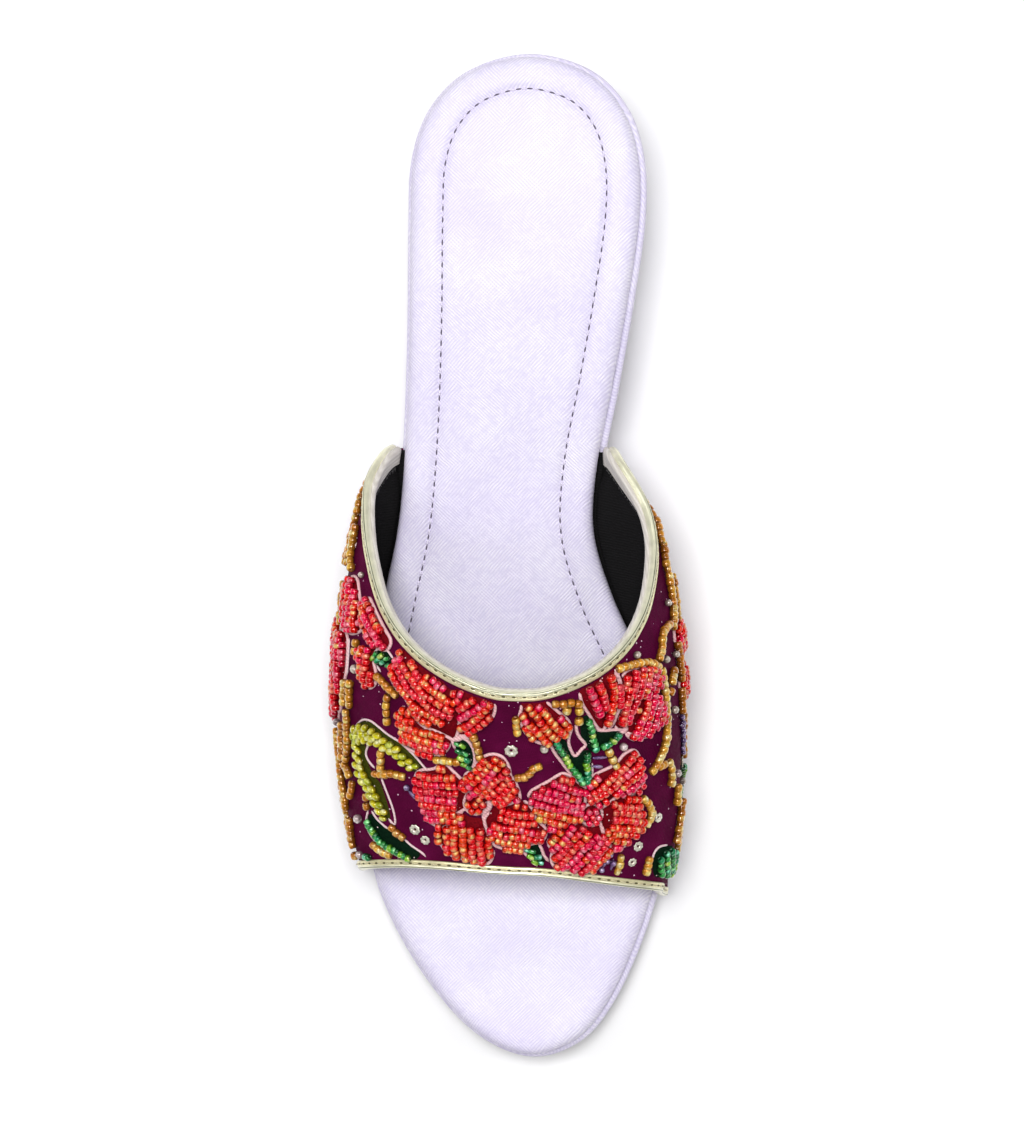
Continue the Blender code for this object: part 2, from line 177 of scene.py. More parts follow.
EDGES = table(
    "share throat_lateral throat_medial toe_lateral toe_medial",
    (
        (0.00, 28.7, 28.0, -77.5, -83.5),
        (0.08, 27.1, 26.7, -77.1, -82.9),
        (0.18, 22.6, 22.2, -76.4, -81.9),
        (0.30, 14.0, 12.6, -75.5, -80.7),
        (0.42, 2.6, 0.4, -74.7, -79.7),
        (0.55, -10.5, -13.1, -74.2, -78.6),
        (0.70, -21.8, -23.3, -74.3, -77.3),
        (0.84, -28.3, -28.8, -74.9, -76.1),
        (0.94, -30.9, -31.0, -75.3, -75.6),
        (1.00, -31.2, -31.2, -75.5, -75.5),
    ),
)

# ---------------------------------------------------------------- shape functions shared with the model


def along(rows, column, at, by="y"):
    """A column's value at other stations, on a smooth curve through the table's rows."""
    x, v = rows[by], rows[column]
    if x[0] > x[-1]:
        x, v = x[::-1], v[::-1]
    slope = np.gradient(v, x)
    at = np.clip(at, x[0], x[-1])
    i = np.clip(np.searchsorted(x, at) - 1, 0, len(x) - 2)
    span = x[i + 1] - x[i]
    t = (at - x[i]) / span
    rise = v[i + 1] - v[i]
    a = slope[i] * span - rise
    b = rise - slope[i + 1] * span
    return v[i] + rise * t + t * (1 - t) * (a * (1 - t) + b * t)


def ease(value, start, end):
    """0 before start, 1 after end, with a smooth step between them."""
    t = np.clip((value - start) / (end - start), 0.0, 1.0)
    return t * t * (3.0 - 2.0 * t)


def unit(vectors):
    """The same directions, each with a length of 1."""
    return vectors / np.linalg.norm(vectors, axis=-1, keepdims=True)


def angles_round(count):
    """Angles spread evenly over a full turn."""
    return np.arange(count) / count * TURN


def running_length(points):
    """The distance along a line at each of its points."""
    return np.insert(np.linalg.norm(np.diff(points, axis=0), axis=1).cumsum(), 0, 0.0)


def read_along(at, run, rows):
    """What the rows of points come to at distances along their line."""
    return np.column_stack([np.interp(at, run, column) for column in rows.T])


def curve_between(knots, t):
    """Points on the smooth curve from the second of four knots to the third."""
    p0, p1, p2, p3 = knots
    bend = p0 - 2.5 * p1 + 2 * p2 - 0.5 * p3
    return p1 + (p2 - p0) / 2 * t + bend * t**2 + ((p3 - p0) / 2 + 1.5 * (p1 - p2)) * t**3


def stretches(chosen):
    """The start and end of each unbroken stretch of True."""
    return np.flatnonzero(np.diff(np.concatenate(([0], chosen.astype(int), [0])))).reshape(-1, 2)


def footbed_top(y):
    return along(PROFILE, "top", y)


def footbed_under(y):
    return footbed_top(y) - FOOTBED_THICK


def floor_side(y):
    """The height of the outsole's underside, which springs up at the toe and is bevelled at the heel."""
    toe = np.clip((TOE_SPRING_FROM - y) / (TOE_SPRING_FROM - OUTLINE["y"][-1]), 0.0, None)
    heel = np.clip((y - HEEL_BEVEL_FROM) / (OUTLINE["y"][0] - HEEL_BEVEL_FROM), 0.0, None)
    return TOE_SPRING * toe**TOE_SPRING_POWER + HEEL_BEVEL * heel**2


def wedge_foot(y):
    return floor_side(y) + OUTSOLE_THICK + GAP


def outline_ring(steps):
    """Points and outward normals round the footbed's edge, where point i and point -i face each other."""
    lateral = np.column_stack((OUTLINE["lateral"], OUTLINE["y"]))
    medial = np.column_stack((OUTLINE["medial"], OUTLINE["y"]))
    knots = np.vstack((lateral, medial[-2:0:-1]))
    points, normals = [], []
    for k in range(len(knots)):
        p0, p1, p2, p3 = (knots[(k + j) % len(knots)] for j in (-1, 0, 1, 2))
        c1 = (p2 - p0) / 2
        c2 = p0 - 2.5 * p1 + 2 * p2 - 0.5 * p3
        c3 = (p3 - p0) / 2 + 1.5 * (p1 - p2)
        for t in np.arange(steps) / steps:
            points.append(p1 + c1 * t + c2 * t**2 + c3 * t**3)
            tangent = c1 + 2 * c2 * t + 3 * c3 * t**2
            normals.append(np.array((tangent[1], -tangent[0])) / np.linalg.norm(tangent))
    points, normals = np.array(points), np.array(normals)
    if np.sum((points - points.mean(0)) * normals) < 0:
        normals = -normals
    return points, normals


def half_section(y, side, flare, samples=160):
    """The upper's outer face at each station y, as points (x, z) from the feather line up to the crest."""
    y, side, flare = (np.asarray(v, float)[:, None] for v in (y, side, flare))
    lateral = side < 0
    edge = np.where(lateral, along(OUTLINE, "lateral", y), along(OUTLINE, "medial", y))
    low_x = edge + side * (GAP + WALL + flare)
    low_z = footbed_under(y) - GAP - MARGIN_THICK + FEATHER_ROUND
    wide_x = np.where(lateral, along(SECTIONS, "lateral", y), along(SECTIONS, "medial", y))
    wide_z = footbed_top(y) + along(SECTIONS, "rise", y)
    crest_x, crest_z = along(SECTIONS, "crest_x", y), along(SECTIONS, "crest_z", y)
    power = 2.0 / along(SECTIONS, "fullness", y)

    lower = int(samples * 0.35)
    t = np.linspace(0.0, 1.0, lower, endpoint=False)[None, :]
    x_low = low_x + (wide_x - low_x) * np.sin(t * math.pi / 2)
    z_low = low_z + (wide_z - low_z) * t
    a = np.linspace(0.0, math.pi / 2, samples - lower)[None, :]
    x_high = crest_x + (wide_x - crest_x) * np.cos(a).clip(0) ** power
    z_high = wide_z + (crest_z - wide_z) * np.sin(a) ** power
    return np.hstack((x_low, x_high)), np.hstack((z_low, z_high))


def edge_station(girth, which):
    """Where the upper's throat or toe edge lies, at a place round the girth from -1 to 1."""
    share = 1.0 - np.abs(girth)
    lateral = along(EDGES, which + "_lateral", share, by="share")
    medial = along(EDGES, which + "_medial", share, by="share")
    return np.where(np.asarray(girth) < 0, lateral, medial)


def upper_face(girth, y):
    """Points on the upper's outer face, and the half girth there."""
    girth, y = np.broadcast_arrays(np.atleast_1d(girth).astype(float), y)
    side = np.where(girth < 0, -1.0, 1.0)
    at_throat = THROAT_FLARE * (1.0 - ease(edge_station(girth, "throat") - y, *EDGE_FLARE_REACH))
    at_toe = TOE_FLARE * (1.0 - ease(y - edge_station(girth, "toe"), *EDGE_FLARE_REACH))
    flare = np.maximum(at_throat, at_toe)
    x, z = half_section(y, side, flare)
    run = np.hypot(np.diff(x), np.diff(z)).cumsum(axis=1)
    run = np.hstack((np.zeros((len(run), 1)), run))
    goal = (1.0 - np.abs(girth)) * run[:, -1]
    i = np.clip((run < goal[:, None]).sum(axis=1) - 1, 0, run.shape[1] - 2)
    row = np.arange(len(i))
    t = (goal - run[row, i]) / (run[row, i + 1] - run[row, i])
    x, z = (v[row, i] * (1 - t) + v[row, i + 1] * t for v in (x, z))
    return np.column_stack((x, y, z)), run[:, -1]


class UpperFace:
    """The upper's outer face on a fine grid, read back at any place (s, y) of the maker's chart."""

    def __init__(self, around=241, ahead=241):
        self.girth = np.linspace(-1.0, 1.0, around)
        self.y = np.linspace(*FACE_SPAN, ahead)
        grid_y, grid_g = np.meshgrid(self.y, self.girth, indexing="ij")
        points, half = upper_face(grid_g.ravel(), grid_y.ravel())
        self.points = points.reshape(ahead, around, 3)
        half = half.reshape(ahead, around)
        self.half = {-1: half[:, 0], 1: half[:, -1]}
        d_girth = np.gradient(self.points, self.girth, axis=1)
        d_y = np.gradient(self.points, self.y, axis=0)
        self.normals = unit(np.cross(d_girth, d_y))
        self.d_girth, self.d_y = d_girth, d_y

    def half_at(self, s, y):
        """The half girth on the side that s is on."""
        return np.where(s < 0, np.interp(y, self.y, self.half[-1]), np.interp(y, self.y, self.half[1]))

    def girth_at(self, s, y):
        return np.clip(s / self.half_at(s, y), -1.0, 1.0)

    def read(self, grid, girth, y):
        """Values of a grid between its points."""
        u = np.clip((girth + 1) / 2 * (len(self.girth) - 1), 0, len(self.girth) - 1.001)
        v = np.clip((y - self.y[0]) / (self.y[1] - self.y[0]), 0, len(self.y) - 1.001)
        i, j = u.astype(int), v.astype(int)
        u, v = (u - i)[..., None], (v - j)[..., None]
        near = grid[j, i] * (1 - u) + grid[j, i + 1] * u
        far = grid[j + 1, i] * (1 - u) + grid[j + 1, i + 1] * u
        return near * (1 - v) + far * v

    def at_girth(self, girth, y, lift=0.0):
        girth, y, lift = np.broadcast_arrays(np.asarray(girth, float), np.asarray(y, float), lift)
        normal = unit(self.read(self.normals, girth, y))
        return self.read(self.points, girth, y) + normal * lift[..., None], normal

    def at(self, s, y, lift=0.0):
        """Points and normals at places of the chart, lifted off the face."""
        s, y = np.broadcast_arrays(np.asarray(s, float), np.asarray(y, float))
        return self.at_girth(self.girth_at(s, y), y, lift)

    def over(self, places, lift=0.0):
        """Points and normals over rows of places (s, y)."""
        return self.at(places[:, 0], places[:, 1], lift)

    def slide(self, girth, y, move):
        """Slides places along the face by a vector each."""
        goal = self.read(self.points, girth, y) + move
        for _ in range(5):
            around, ahead = self.read(self.d_girth, girth, y), self.read(self.d_y, girth, y)
            miss = goal - self.read(self.points, girth, y)
            aa, ab, am = (np.sum(around * other, axis=1) for other in (around, ahead, miss))
            bb, bm = (np.sum(ahead * other, axis=1) for other in (ahead, miss))
            spread = aa * bb - ab * ab
            girth = np.clip(girth + (am * bb - bm * ab) / spread, -1.0, 1.0)
            y = y + (bm * aa - am * ab) / spread
        return girth, y


FACE = UpperFace()

# ---------------------------------------------------------------- materials


class Paint:
    """A Principled material with short calls to add nodes. Lengths in its textures are millimetres."""

    def __init__(self, name, roughness, metallic=0.0, **sockets):
        self.material = bpy.data.materials.new(name)
        self.material.use_nodes = True
        self.tree = self.material.node_tree
        self.shader = self.tree.nodes["Principled BSDF"]
        self.shader.inputs["Roughness"].default_value = roughness
        self.shader.inputs["Metallic"].default_value = metallic
        for key, value in sockets.items():
            self.shader.inputs[key.replace("_", " ")].default_value = value
        place = self.node("ShaderNodeTexCoord").outputs["Object"]
        self.place = self.vector("SCALE", place, scale=1 / MM)

    def node(self, kind, **inputs):
        """A node with its inputs set, or linked where the value is another node's socket."""
        made = self.tree.nodes.new(kind)
        for key, value in inputs.items():
            self.feed(made.inputs[key.replace("_", " ")], value)
        return made

    def feed(self, socket, value):
        if isinstance(value, bpy.types.NodeSocket):
            self.tree.links.new(value, socket)
        else:
            socket.default_value = value

    def math(self, operation, *values):
        made = self.tree.nodes.new("ShaderNodeMath")
        made.operation = operation
        for socket, value in zip(made.inputs, values):
            self.feed(socket, value)
        return made.outputs[0]

    def vector(self, operation, *values, scale=None):
        made = self.tree.nodes.new("ShaderNodeVectorMath")
        made.operation = operation
        for socket, value in zip(made.inputs, values):
            self.feed(socket, value)
        if scale is not None:
            made.inputs["Scale"].default_value = scale
        return made.outputs["Value" if operation in ("DOT_PRODUCT", "LENGTH") else "Vector"]

    def noise(self, size, detail=2.0, roughness=0.5):
        made = self.node("ShaderNodeTexNoise", Scale=1 / size, Detail=detail, Roughness=roughness)
        self.tree.links.new(self.place, made.inputs["Vector"])
        return made.outputs["Fac"]

    def glitter(self, size, rarity):
        """1 on specks spread in cells of a size. The higher the rarity, the fewer of the cells have one."""
        cells = self.node("ShaderNodeTexVoronoi", Scale=1 / size)
        self.tree.links.new(self.place, cells.inputs["Vector"])
        spark = self.math("LESS_THAN", cells.outputs["Distance"], 0.10)
        chosen = self.math("GREATER_THAN", self.vector("LENGTH", cells.outputs["Color"]), rarity)
        return self.math("MULTIPLY", spark, chosen)

    def stripes(self, direction, pitch, wobble=0.0, wobble_size=4.0):
        """A sine from 0 to 1 along a direction, one wave to each pitch."""
        way = tuple(v / math.dist((0, 0, 0), direction) for v in direction)
        run = self.vector("DOT_PRODUCT", self.place, way)
        if wobble:
            run = self.math("ADD", run, self.math("MULTIPLY", self.noise(wobble_size), wobble))
        wave = self.math("SINE", self.math("MULTIPLY", run, TURN / pitch))
        return self.math("MULTIPLY_ADD", wave, 0.5, 0.5)

    def ramp(self, value, *stops):
        """A colour ramp from stops of (place, colour or grey)."""
        made = self.node("ShaderNodeValToRGB", Fac=value)
        ramp = made.color_ramp
        while len(ramp.elements) < len(stops):
            ramp.elements.new(0.5)
        for element, (at, colour) in zip(ramp.elements, stops):
            element.position = at
            element.color = (*colour, 1.0) if isinstance(colour, tuple) else (colour, colour, colour, 1.0)
        return made.outputs["Color"]

    def mix(self, share, first, second, blend="MIX"):
        made = self.tree.nodes.new("ShaderNodeMix")
        made.data_type = "RGBA"
        made.blend_type = blend
        for socket, value in ((made.inputs[0], share), (made.inputs[6], first), (made.inputs[7], second)):
            self.feed(socket, (*value, 1.0) if isinstance(value, tuple) else value)
        return made.outputs[2]

    def multiply(self, first, second):
        return self.mix(1.0, first, second, blend="MULTIPLY")

    def tint(self):
        """The colours that are in the mesh."""
        made = self.node("ShaderNodeAttribute")
        made.attribute_name = "tint"
        return made.outputs["Color"]

    def colour(self, value):
        self.feed(self.shader.inputs["Base Color"], (*value, 1.0) if isinstance(value, tuple) else value)

    def roughness(self, value):
        self.feed(self.shader.inputs["Roughness"], value)

    def bump(self, height, depth):
        """Adds relief of that depth, on top of any relief that the material has."""
        made = self.node("ShaderNodeBump", Height=height, Distance=depth * MM)
        normal = self.shader.inputs["Normal"]
        if normal.is_linked:
            self.tree.links.new(normal.links[0].from_socket, made.inputs["Normal"])
        self.tree.links.new(made.outputs["Normal"], normal)


def lilac_leather(name, across, down):
    """Pale lilac synthetic leather with a fine pressed hatch along two directions."""
    paint = Paint(name, 0.46, Specular_IOR_Level=0.42)
    first = paint.stripes(across, HATCH_PITCH, wobble=0.5, wobble_size=3.0)
    second = paint.stripes(down, HATCH_PITCH, wobble=0.5, wobble_size=3.4)
    patch = paint.ramp(paint.noise(9.0, 2.0), (0.44, 0.08), (0.60, 0.85))
    crossed = paint.mix(patch, first, second)
    hatch = paint.math("MULTIPLY", crossed, paint.ramp(paint.noise(1.6, 1.0), (0.3, 0.35), (0.6, 1.0)))
    pores = paint.noise(0.45, 3.0, 0.6)
    tone = paint.math("MULTIPLY_ADD", pores, 0.35, paint.math("MULTIPLY", hatch, 0.75))
    deep, middle, pale = (0.64, 0.60, 0.77), (0.77, 0.733, 0.872), (0.875, 0.845, 0.94)
    colour = paint.ramp(tone, (0.10, deep), (0.5, middle), (0.9, pale))
    cloud = paint.ramp(paint.noise(22.0, 2.0), (0.3, (0.93, 0.91, 0.98)), (0.7, (1.0, 1.0, 1.0)))
    paint.colour(paint.multiply(colour, cloud))
    paint.roughness(paint.math("MULTIPLY_ADD", pores, 0.16, 0.38))
    paint.bump(hatch, 0.08)
    paint.bump(pores, 0.04)
    return paint.material


def plum_cloth():
    """Dark plum satin velvet with a fine weave and glitter."""
    paint = Paint("plum_cloth_face", 0.62, Specular_IOR_Level=0.04)
    warp, weft = paint.stripes((1, 0.1, 0.3), WEAVE_PITCH), paint.stripes((0.1, 1, 0.4), WEAVE_PITCH)
    weave = paint.math("MULTIPLY", warp, weft)
    cloud = paint.noise(6.0, 3.0)
    deep, middle, pale = (0.072, 0.0015, 0.026), (0.094, 0.002, 0.034), (0.125, 0.004, 0.048)
    colour = paint.ramp(cloud, (0.3, deep), (0.55, middle), (0.8, pale))
    spark = paint.glitter(2.0, 0.98)
    paint.colour(paint.mix(spark, colour, (0.80, 0.55, 0.68)))
    paint.roughness(paint.math("MULTIPLY_ADD", spark, -0.5, 0.72))
    paint.bump(weave, 0.08)
    paint.bump(cloud, 0.12)
    return paint.material


def lining_cloth():
    """Black brushed lining with a fine rib."""
    paint = Paint("black_lining", 0.88, Specular_IOR_Level=0.2)
    rib = paint.stripes((0.1, 1.0, 0.2), 0.7, wobble=0.3)
    fibre = paint.noise(0.5, 4.0, 0.7)
    paint.colour(paint.ramp(fibre, (0.3, (0.002, 0.002, 0.002)), (0.8, (0.009, 0.008, 0.009))))
    paint.bump(rib, 0.10)
    paint.bump(fibre, 0.10)
    return paint.material


def gold_leather(name):
    """Champagne foil leather. Its colour along each section is in its mesh: painted shade, olive or bronze,
    near the section's seat and in its grooves, and the leather's own lighter colour away from the seat.
    """
    paint = Paint(name, 0.32, metallic=0.45, Coat_Weight=0.35, Coat_Roughness=0.15)
    grain = paint.noise(0.8, 4.0, 0.65)
    rubbed = paint.ramp(paint.noise(3.5, 3.0, 0.6), (0.3, 0.80), (0.7, 1.0))
    paint.colour(paint.multiply(paint.tint(), rubbed))
    paint.roughness(paint.math("MULTIPLY_ADD", grain, 0.22, 0.22))
    paint.bump(grain, 0.06)
    paint.bump(paint.noise(2.6, 2.0), 0.08)
    return paint.material


def thread(name, light, deep, pitch=0.5):
    """Twisted thread or cord."""
    paint = Paint(name, 0.6, Sheen_Weight=0.2)
    twist = paint.stripes((1, 1, 1), pitch, wobble=0.2, wobble_size=1.0)
    fibre = paint.noise(0.3, 3.0)
    paint.colour(paint.mix(paint.math("MULTIPLY", twist, fibre), deep, light))
    paint.bump(twist, 0.08)
    return paint.material


def bead_glass(name, roughness, metallic):
    """Lustre glass: the colour of each bead is in its mesh, with its painted shade, painted light at its
    crown and painted glint, and it is a little uneven.
    """
    coat = {"Coat_Weight": 0.9, "Coat_Roughness": 0.04, "Coat_IOR": 1.5}
    paint = Paint(name, roughness, metallic, Specular_IOR_Level=0.25, **coat)
    cloud = paint.ramp(paint.noise(0.7, 2.0), (0.3, 0.55), (0.7, 1.0))
    paint.colour(paint.multiply(paint.tint(), cloud))
    paint.bump(paint.noise(0.6, 1.0), 0.02)
    return paint.material


def felt(name, deep, light):
    """The padded ground under petals and leaves, with glitter."""
    paint = Paint(name, 0.75, Specular_IOR_Level=0.05)
    fibre = paint.noise(0.4, 4.0, 0.6)
    colour = paint.ramp(fibre, (0.3, deep), (0.75, light))
    paint.colour(paint.mix(paint.glitter(1.6, 1.0), colour, (0.95, 0.75, 0.75)))
    paint.bump(fibre, 0.10)
    return paint.material


def outsole_rubber():
    """Dark brown moulded rubber, a little worn."""
    paint = Paint("moulded_rubber", 0.68)
    grain = paint.noise(0.35, 4.0, 0.6)
    wear = paint.noise(14.0, 4.0)
    tone = paint.math("MULTIPLY_ADD", grain, 0.3, paint.math("MULTIPLY", wear, 0.7))
    paint.colour(paint.ramp(tone, (0.3, (0.13, 0.105, 0.095)), (0.75, (0.23, 0.19, 0.17))))
    paint.roughness(paint.math("MULTIPLY_ADD", wear, 0.25, 0.52))
    paint.bump(grain, 0.06)
    return paint.material


def painted_hole_shade(name, colour):
    """Painted shade: the dark colour of a disc that stands for the shaded inside of a needle hole."""
    paint = Paint(name, 0.9)
    paint.colour(paint.ramp(paint.noise(0.3), (0.3, tuple(c * 0.7 for c in colour)), (0.7, colour)))
    return paint.material


# ---------------------------------------------------------------- mesh helpers


def add_mesh(name, points, faces, material, slot, tint=None, fix_normals=True):
    """A mesh piece from points in millimetres, riding on the one body."""
    mesh = bpy.data.meshes.new(name)
    mesh.from_pydata((np.asarray(points, float) * MM).tolist(), [], faces)
    if fix_normals:
        bm = bmesh.new()
        bm.from_mesh(mesh)
        bmesh.ops.recalc_face_normals(bm, faces=bm.faces)
        bm.to_mesh(mesh)
        bm.free()
    if tint is not None:
        layer = mesh.color_attributes.new("tint", "FLOAT_COLOR", "POINT")
        layer.data.foreach_set("color", np.column_stack((tint, np.ones(len(tint)))).ravel())
    mesh.materials.append(material)
    mesh.shade_smooth()
    obj = bpy.data.objects.new(name, mesh)
    bpy.context.scene.collection.objects.link(obj)
    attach(obj, "root")
    return obj


def grid_faces(rows, columns, start=0, close_rows=False, close_columns=False):
    """Quads of a grid whose points are stored row after row."""
    faces = []
    for r in range(rows if close_rows else rows - 1):
        for c in range(columns if close_columns else columns - 1):
            a, b = r * columns, ((r + 1) % rows) * columns
            d = (c + 1) % columns
            faces.append((start + a + c, start + a + d, start + b + d, start + b + c))
    return faces


def tube_faces(rings, around, start=0):
    """Faces of a closed tube: rings of points joined one to the next, with a cap at each end."""
    last = start + (rings - 1) * around
    faces = grid_faces(rings, around, start=start, close_columns=True)
    faces.append(tuple(range(start, start + around)))
    faces.append(tuple(reversed(range(last, last + around))))
    return faces


def shell(name, outer, inner, material, slot):
    """A closed wall between two grids of points."""
    rows, columns = outer.shape[:2]
    count = rows * columns
    faces = grid_faces(rows, columns) + grid_faces(rows, columns, start=count)
    for r in range(rows - 1):
        for c in (0, columns - 1):
            a, b = r * columns + c, (r + 1) * columns + c
            faces.append((a, b, count + b, count + a))
    for c in range(columns - 1):
        for r in (0, rows - 1):
            a = r * columns + c
            faces.append((a, a + 1, count + a + 1, count + a))
    points = np.concatenate((outer.reshape(-1, 3), inner.reshape(-1, 3)))
    return add_mesh(name, points, faces, material, slot)


def ring_solid(name, rings, material, slot, relief, splits, crown=0.0):
    """A solid from rings stacked from the lower cap to the upper one, which swells by the crown."""
    count = len(rings[0])
    points = [np.array(p, float) for ring in rings for p in ring]
    faces = grid_faces(len(rings), count, close_columns=True)
    for start, swell in ((0, 0.0), ((len(rings) - 1) * count, crown)):
        rows = []
        for i in range(count // 2 + 1):
            left, right = start + i, start + (count - i) % count
            row = [left]
            if left != right:
                width = np.linalg.norm(points[left] - points[right])
                rise = swell * min(1.0, width / CROWN_FULL_WIDTH) ** 2
                for t in np.arange(1, splits) / splits:
                    middle = points[left] * (1 - t) + points[right] * t
                    middle[2] += rise * 4 * t * (1 - t)
                    points.append(middle)
                    row.append(len(points) - 1)
                row.append(right)
            rows.append(row)
        for near, far in zip(rows, rows[1:]):
            if len(near) == 1:
                faces += [(near[0], far[k], far[k + 1]) for k in range(len(far) - 1)]
            elif len(far) == 1:
                faces += [(near[k], near[k + 1], far[0]) for k in range(len(near) - 1)]
            else:
                faces += [(near[k], near[k + 1], far[k + 1], far[k]) for k in range(len(near) - 1)]
    return add_mesh(name, relief(np.array(points)), faces, material, slot)


def tubes(name, paths, radius, material, slot, sides=8, ends=0.35):
    """Round cords along paths, each given with its normals, with drawn-in ends."""
    points, faces = [], []
    angles = angles_round(sides)
    for path, normals in paths:
        tangent = unit(np.gradient(path, axis=0))
        up = unit(normals - tangent * np.sum(normals * tangent, axis=1, keepdims=True))
        across = np.cross(tangent, up)
        size = np.full(len(path), radius)
        size[0] *= ends
        size[-1] *= ends
        ring = across[:, None] * np.cos(angles)[None, :, None] + up[:, None] * np.sin(angles)[None, :, None]
        start = len(points)
        points.extend((path[:, None] + ring * size[:, None, None]).reshape(-1, 3))
        faces += tube_faces(len(path), sides, start)
    return add_mesh(name, np.array(points), faces, material, slot)


def lathe(profile, sides):
    """A ring-shaped template round the X axis, from a closed profile of (x, radius)."""
    angles = angles_round(sides)
    points = [(x, r * math.cos(a), r * math.sin(a)) for x, r in profile for a in angles]
    return np.array(points), np.array(grid_faces(len(profile), sides, close_rows=True, close_columns=True))


def scatter(name, template, places, material, slot, tint=None):
    """One joined mesh from copies of a template.

    places is a list of (centre, axes, size), where axes has the copy's own x, y and z as rows. tint gives
    each copy's colour low down, darkened towards its underside as painted shade, its lighter colour at its
    crown as painted light, and for glass the colour and direction of a painted glint as well.
    """
    shape, faces = template
    centres = np.array([p[0] for p in places])
    axes = np.array([p[1] for p in places])
    sizes = np.array([p[2] for p in places])
    points = centres[:, None] + np.einsum("vk,nk,nkd->nvd", shape, sizes, axes)
    faces = (faces[None] + (np.arange(len(places)) * len(shape))[:, None, None]).reshape(-1, faces.shape[1])
    colours = None
    if tint is not None:
        # painted light and shade: the crown takes the lighter colour, and the low colour darkens towards the
        # underside
        top = shape[:, 2] / np.abs(shape[:, 2]).max()
        crown = np.clip(top, 0, 1)[None, :, None] ** 1.6
        low, high = (np.array([t[k] for t in tint])[:, None] for k in (0, 1))
        shade = np.clip(0.62 + 0.38 * top, 0, 1)[None, :, None]
        colours = low * shade * (1 - crown) + high * crown
        # a painted glint: a spot of the glint colour on the side that faces its direction
        if len(tint[0]) > 2:
            painted_glint = np.array([t[2] for t in tint])[:, None]
            facing = np.einsum("vk,nk->nv", unit(shape), unit(np.array([t[3] for t in tint])))
            share = ease(facing, 0.78, 0.99)[..., None]
            colours = colours * (1 - share) + painted_glint * share
        colours = colours.reshape(-1, 3)
    points = points.reshape(-1, 3)
    return add_mesh(name, points, faces.tolist(), material, slot, tint=colours, fix_normals=False)


def resample(points, pitch):
    """A smooth curve through points of the chart, with a point at each pitch."""
    knots = np.array(points, float)
    if len(knots) == 2:
        knots = np.array((knots[0], knots.mean(0), knots[1]))
    ends = np.vstack((2 * knots[0] - knots[1], knots, 2 * knots[-1] - knots[-2]))
    t = (np.arange(24) / 24)[:, None]
    fine = [curve_between(ends[k : k + 4], t) for k in range(len(knots) - 1)]
    fine = np.vstack((*fine, knots[-1:]))
    run = running_length(fine)
    count = max(2, int(round(run[-1] / pitch)) + 1)
    return read_along(np.linspace(0, run[-1], count), run, fine)


# ---------------------------------------------------------------- sole and footbed


def plan_ring(points, normals, offset, height):
    """The footbed's outline moved outwards by an offset, at a height that depends on the station."""
    plan = points + normals * np.reshape(offset, (-1, 1))
    return np.column_stack((plan, height(plan[:, 1])))


def side_lean(points):
    """How far the wedge's side leans in from its top to its foot."""
    y = points[:, 1]
    return WEDGE_TAPER * (footbed_under(y) - GAP - wedge_foot(y))


def make_footbed(points, normals, material):
    """The padded footbed with its rolled edge and the stitched groove."""
    groove = ease(points[:, 1], *STITCH_ENDS)
    profile = (  # distance in from the edge, height, and share of the groove's depth
        (0.9, 0.0, 0.0), (0.45, 0.1, 0.0), (0.15, 0.5, 0.0), (0.0, 1.2, 0.0), (-0.1, 2.0, 0.0),
        (0.0, 2.8, 0.0), (0.25, 3.6, 0.0), (0.65, 4.25, 0.0), (1.3, 4.8, 0.0), (2.2, 5.18, 0.0),
        (3.4, 5.42, 0.0), (4.8, 5.52, 0.0), (6.2, 5.5, 0.06), (7.1, 5.46, 0.3), (7.6, GROOVE_TOP, 0.7),
        (STITCH_INSET, GROOVE_TOP, 1.0), (8.4, GROOVE_TOP, 0.7), (8.9, 5.46, 0.3), (9.8, 5.5, 0.06),
        (11.5, 5.55, 0.0), (13.5, 5.58, 0.0),
    )
    rings = []
    for inset, height, share in profile:
        ring = plan_ring(points, normals, -inset, footbed_under)
        ring[:, 2] += height - GROOVE_DEPTH * groove * share
        rings.append(ring)

    def relief(v):
        """The padding is never quite even."""
        top = v[:, 2] > footbed_under(v[:, 1]) + 5.0
        wave = np.sin(v[:, 0] * 0.31 + 1.3) * np.sin(v[:, 1] * 0.17)
        wave = wave + 0.6 * np.sin(v[:, 0] * 0.12 - v[:, 1] * 0.09)
        v[:, 2] += np.where(top, 0.09 * wave, 0.0)
        return v

    obj = ring_solid("footbed_cover", rings, material, "lilac_cover", relief, splits=24, crown=CROWN)
    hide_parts("footbed")
    return obj


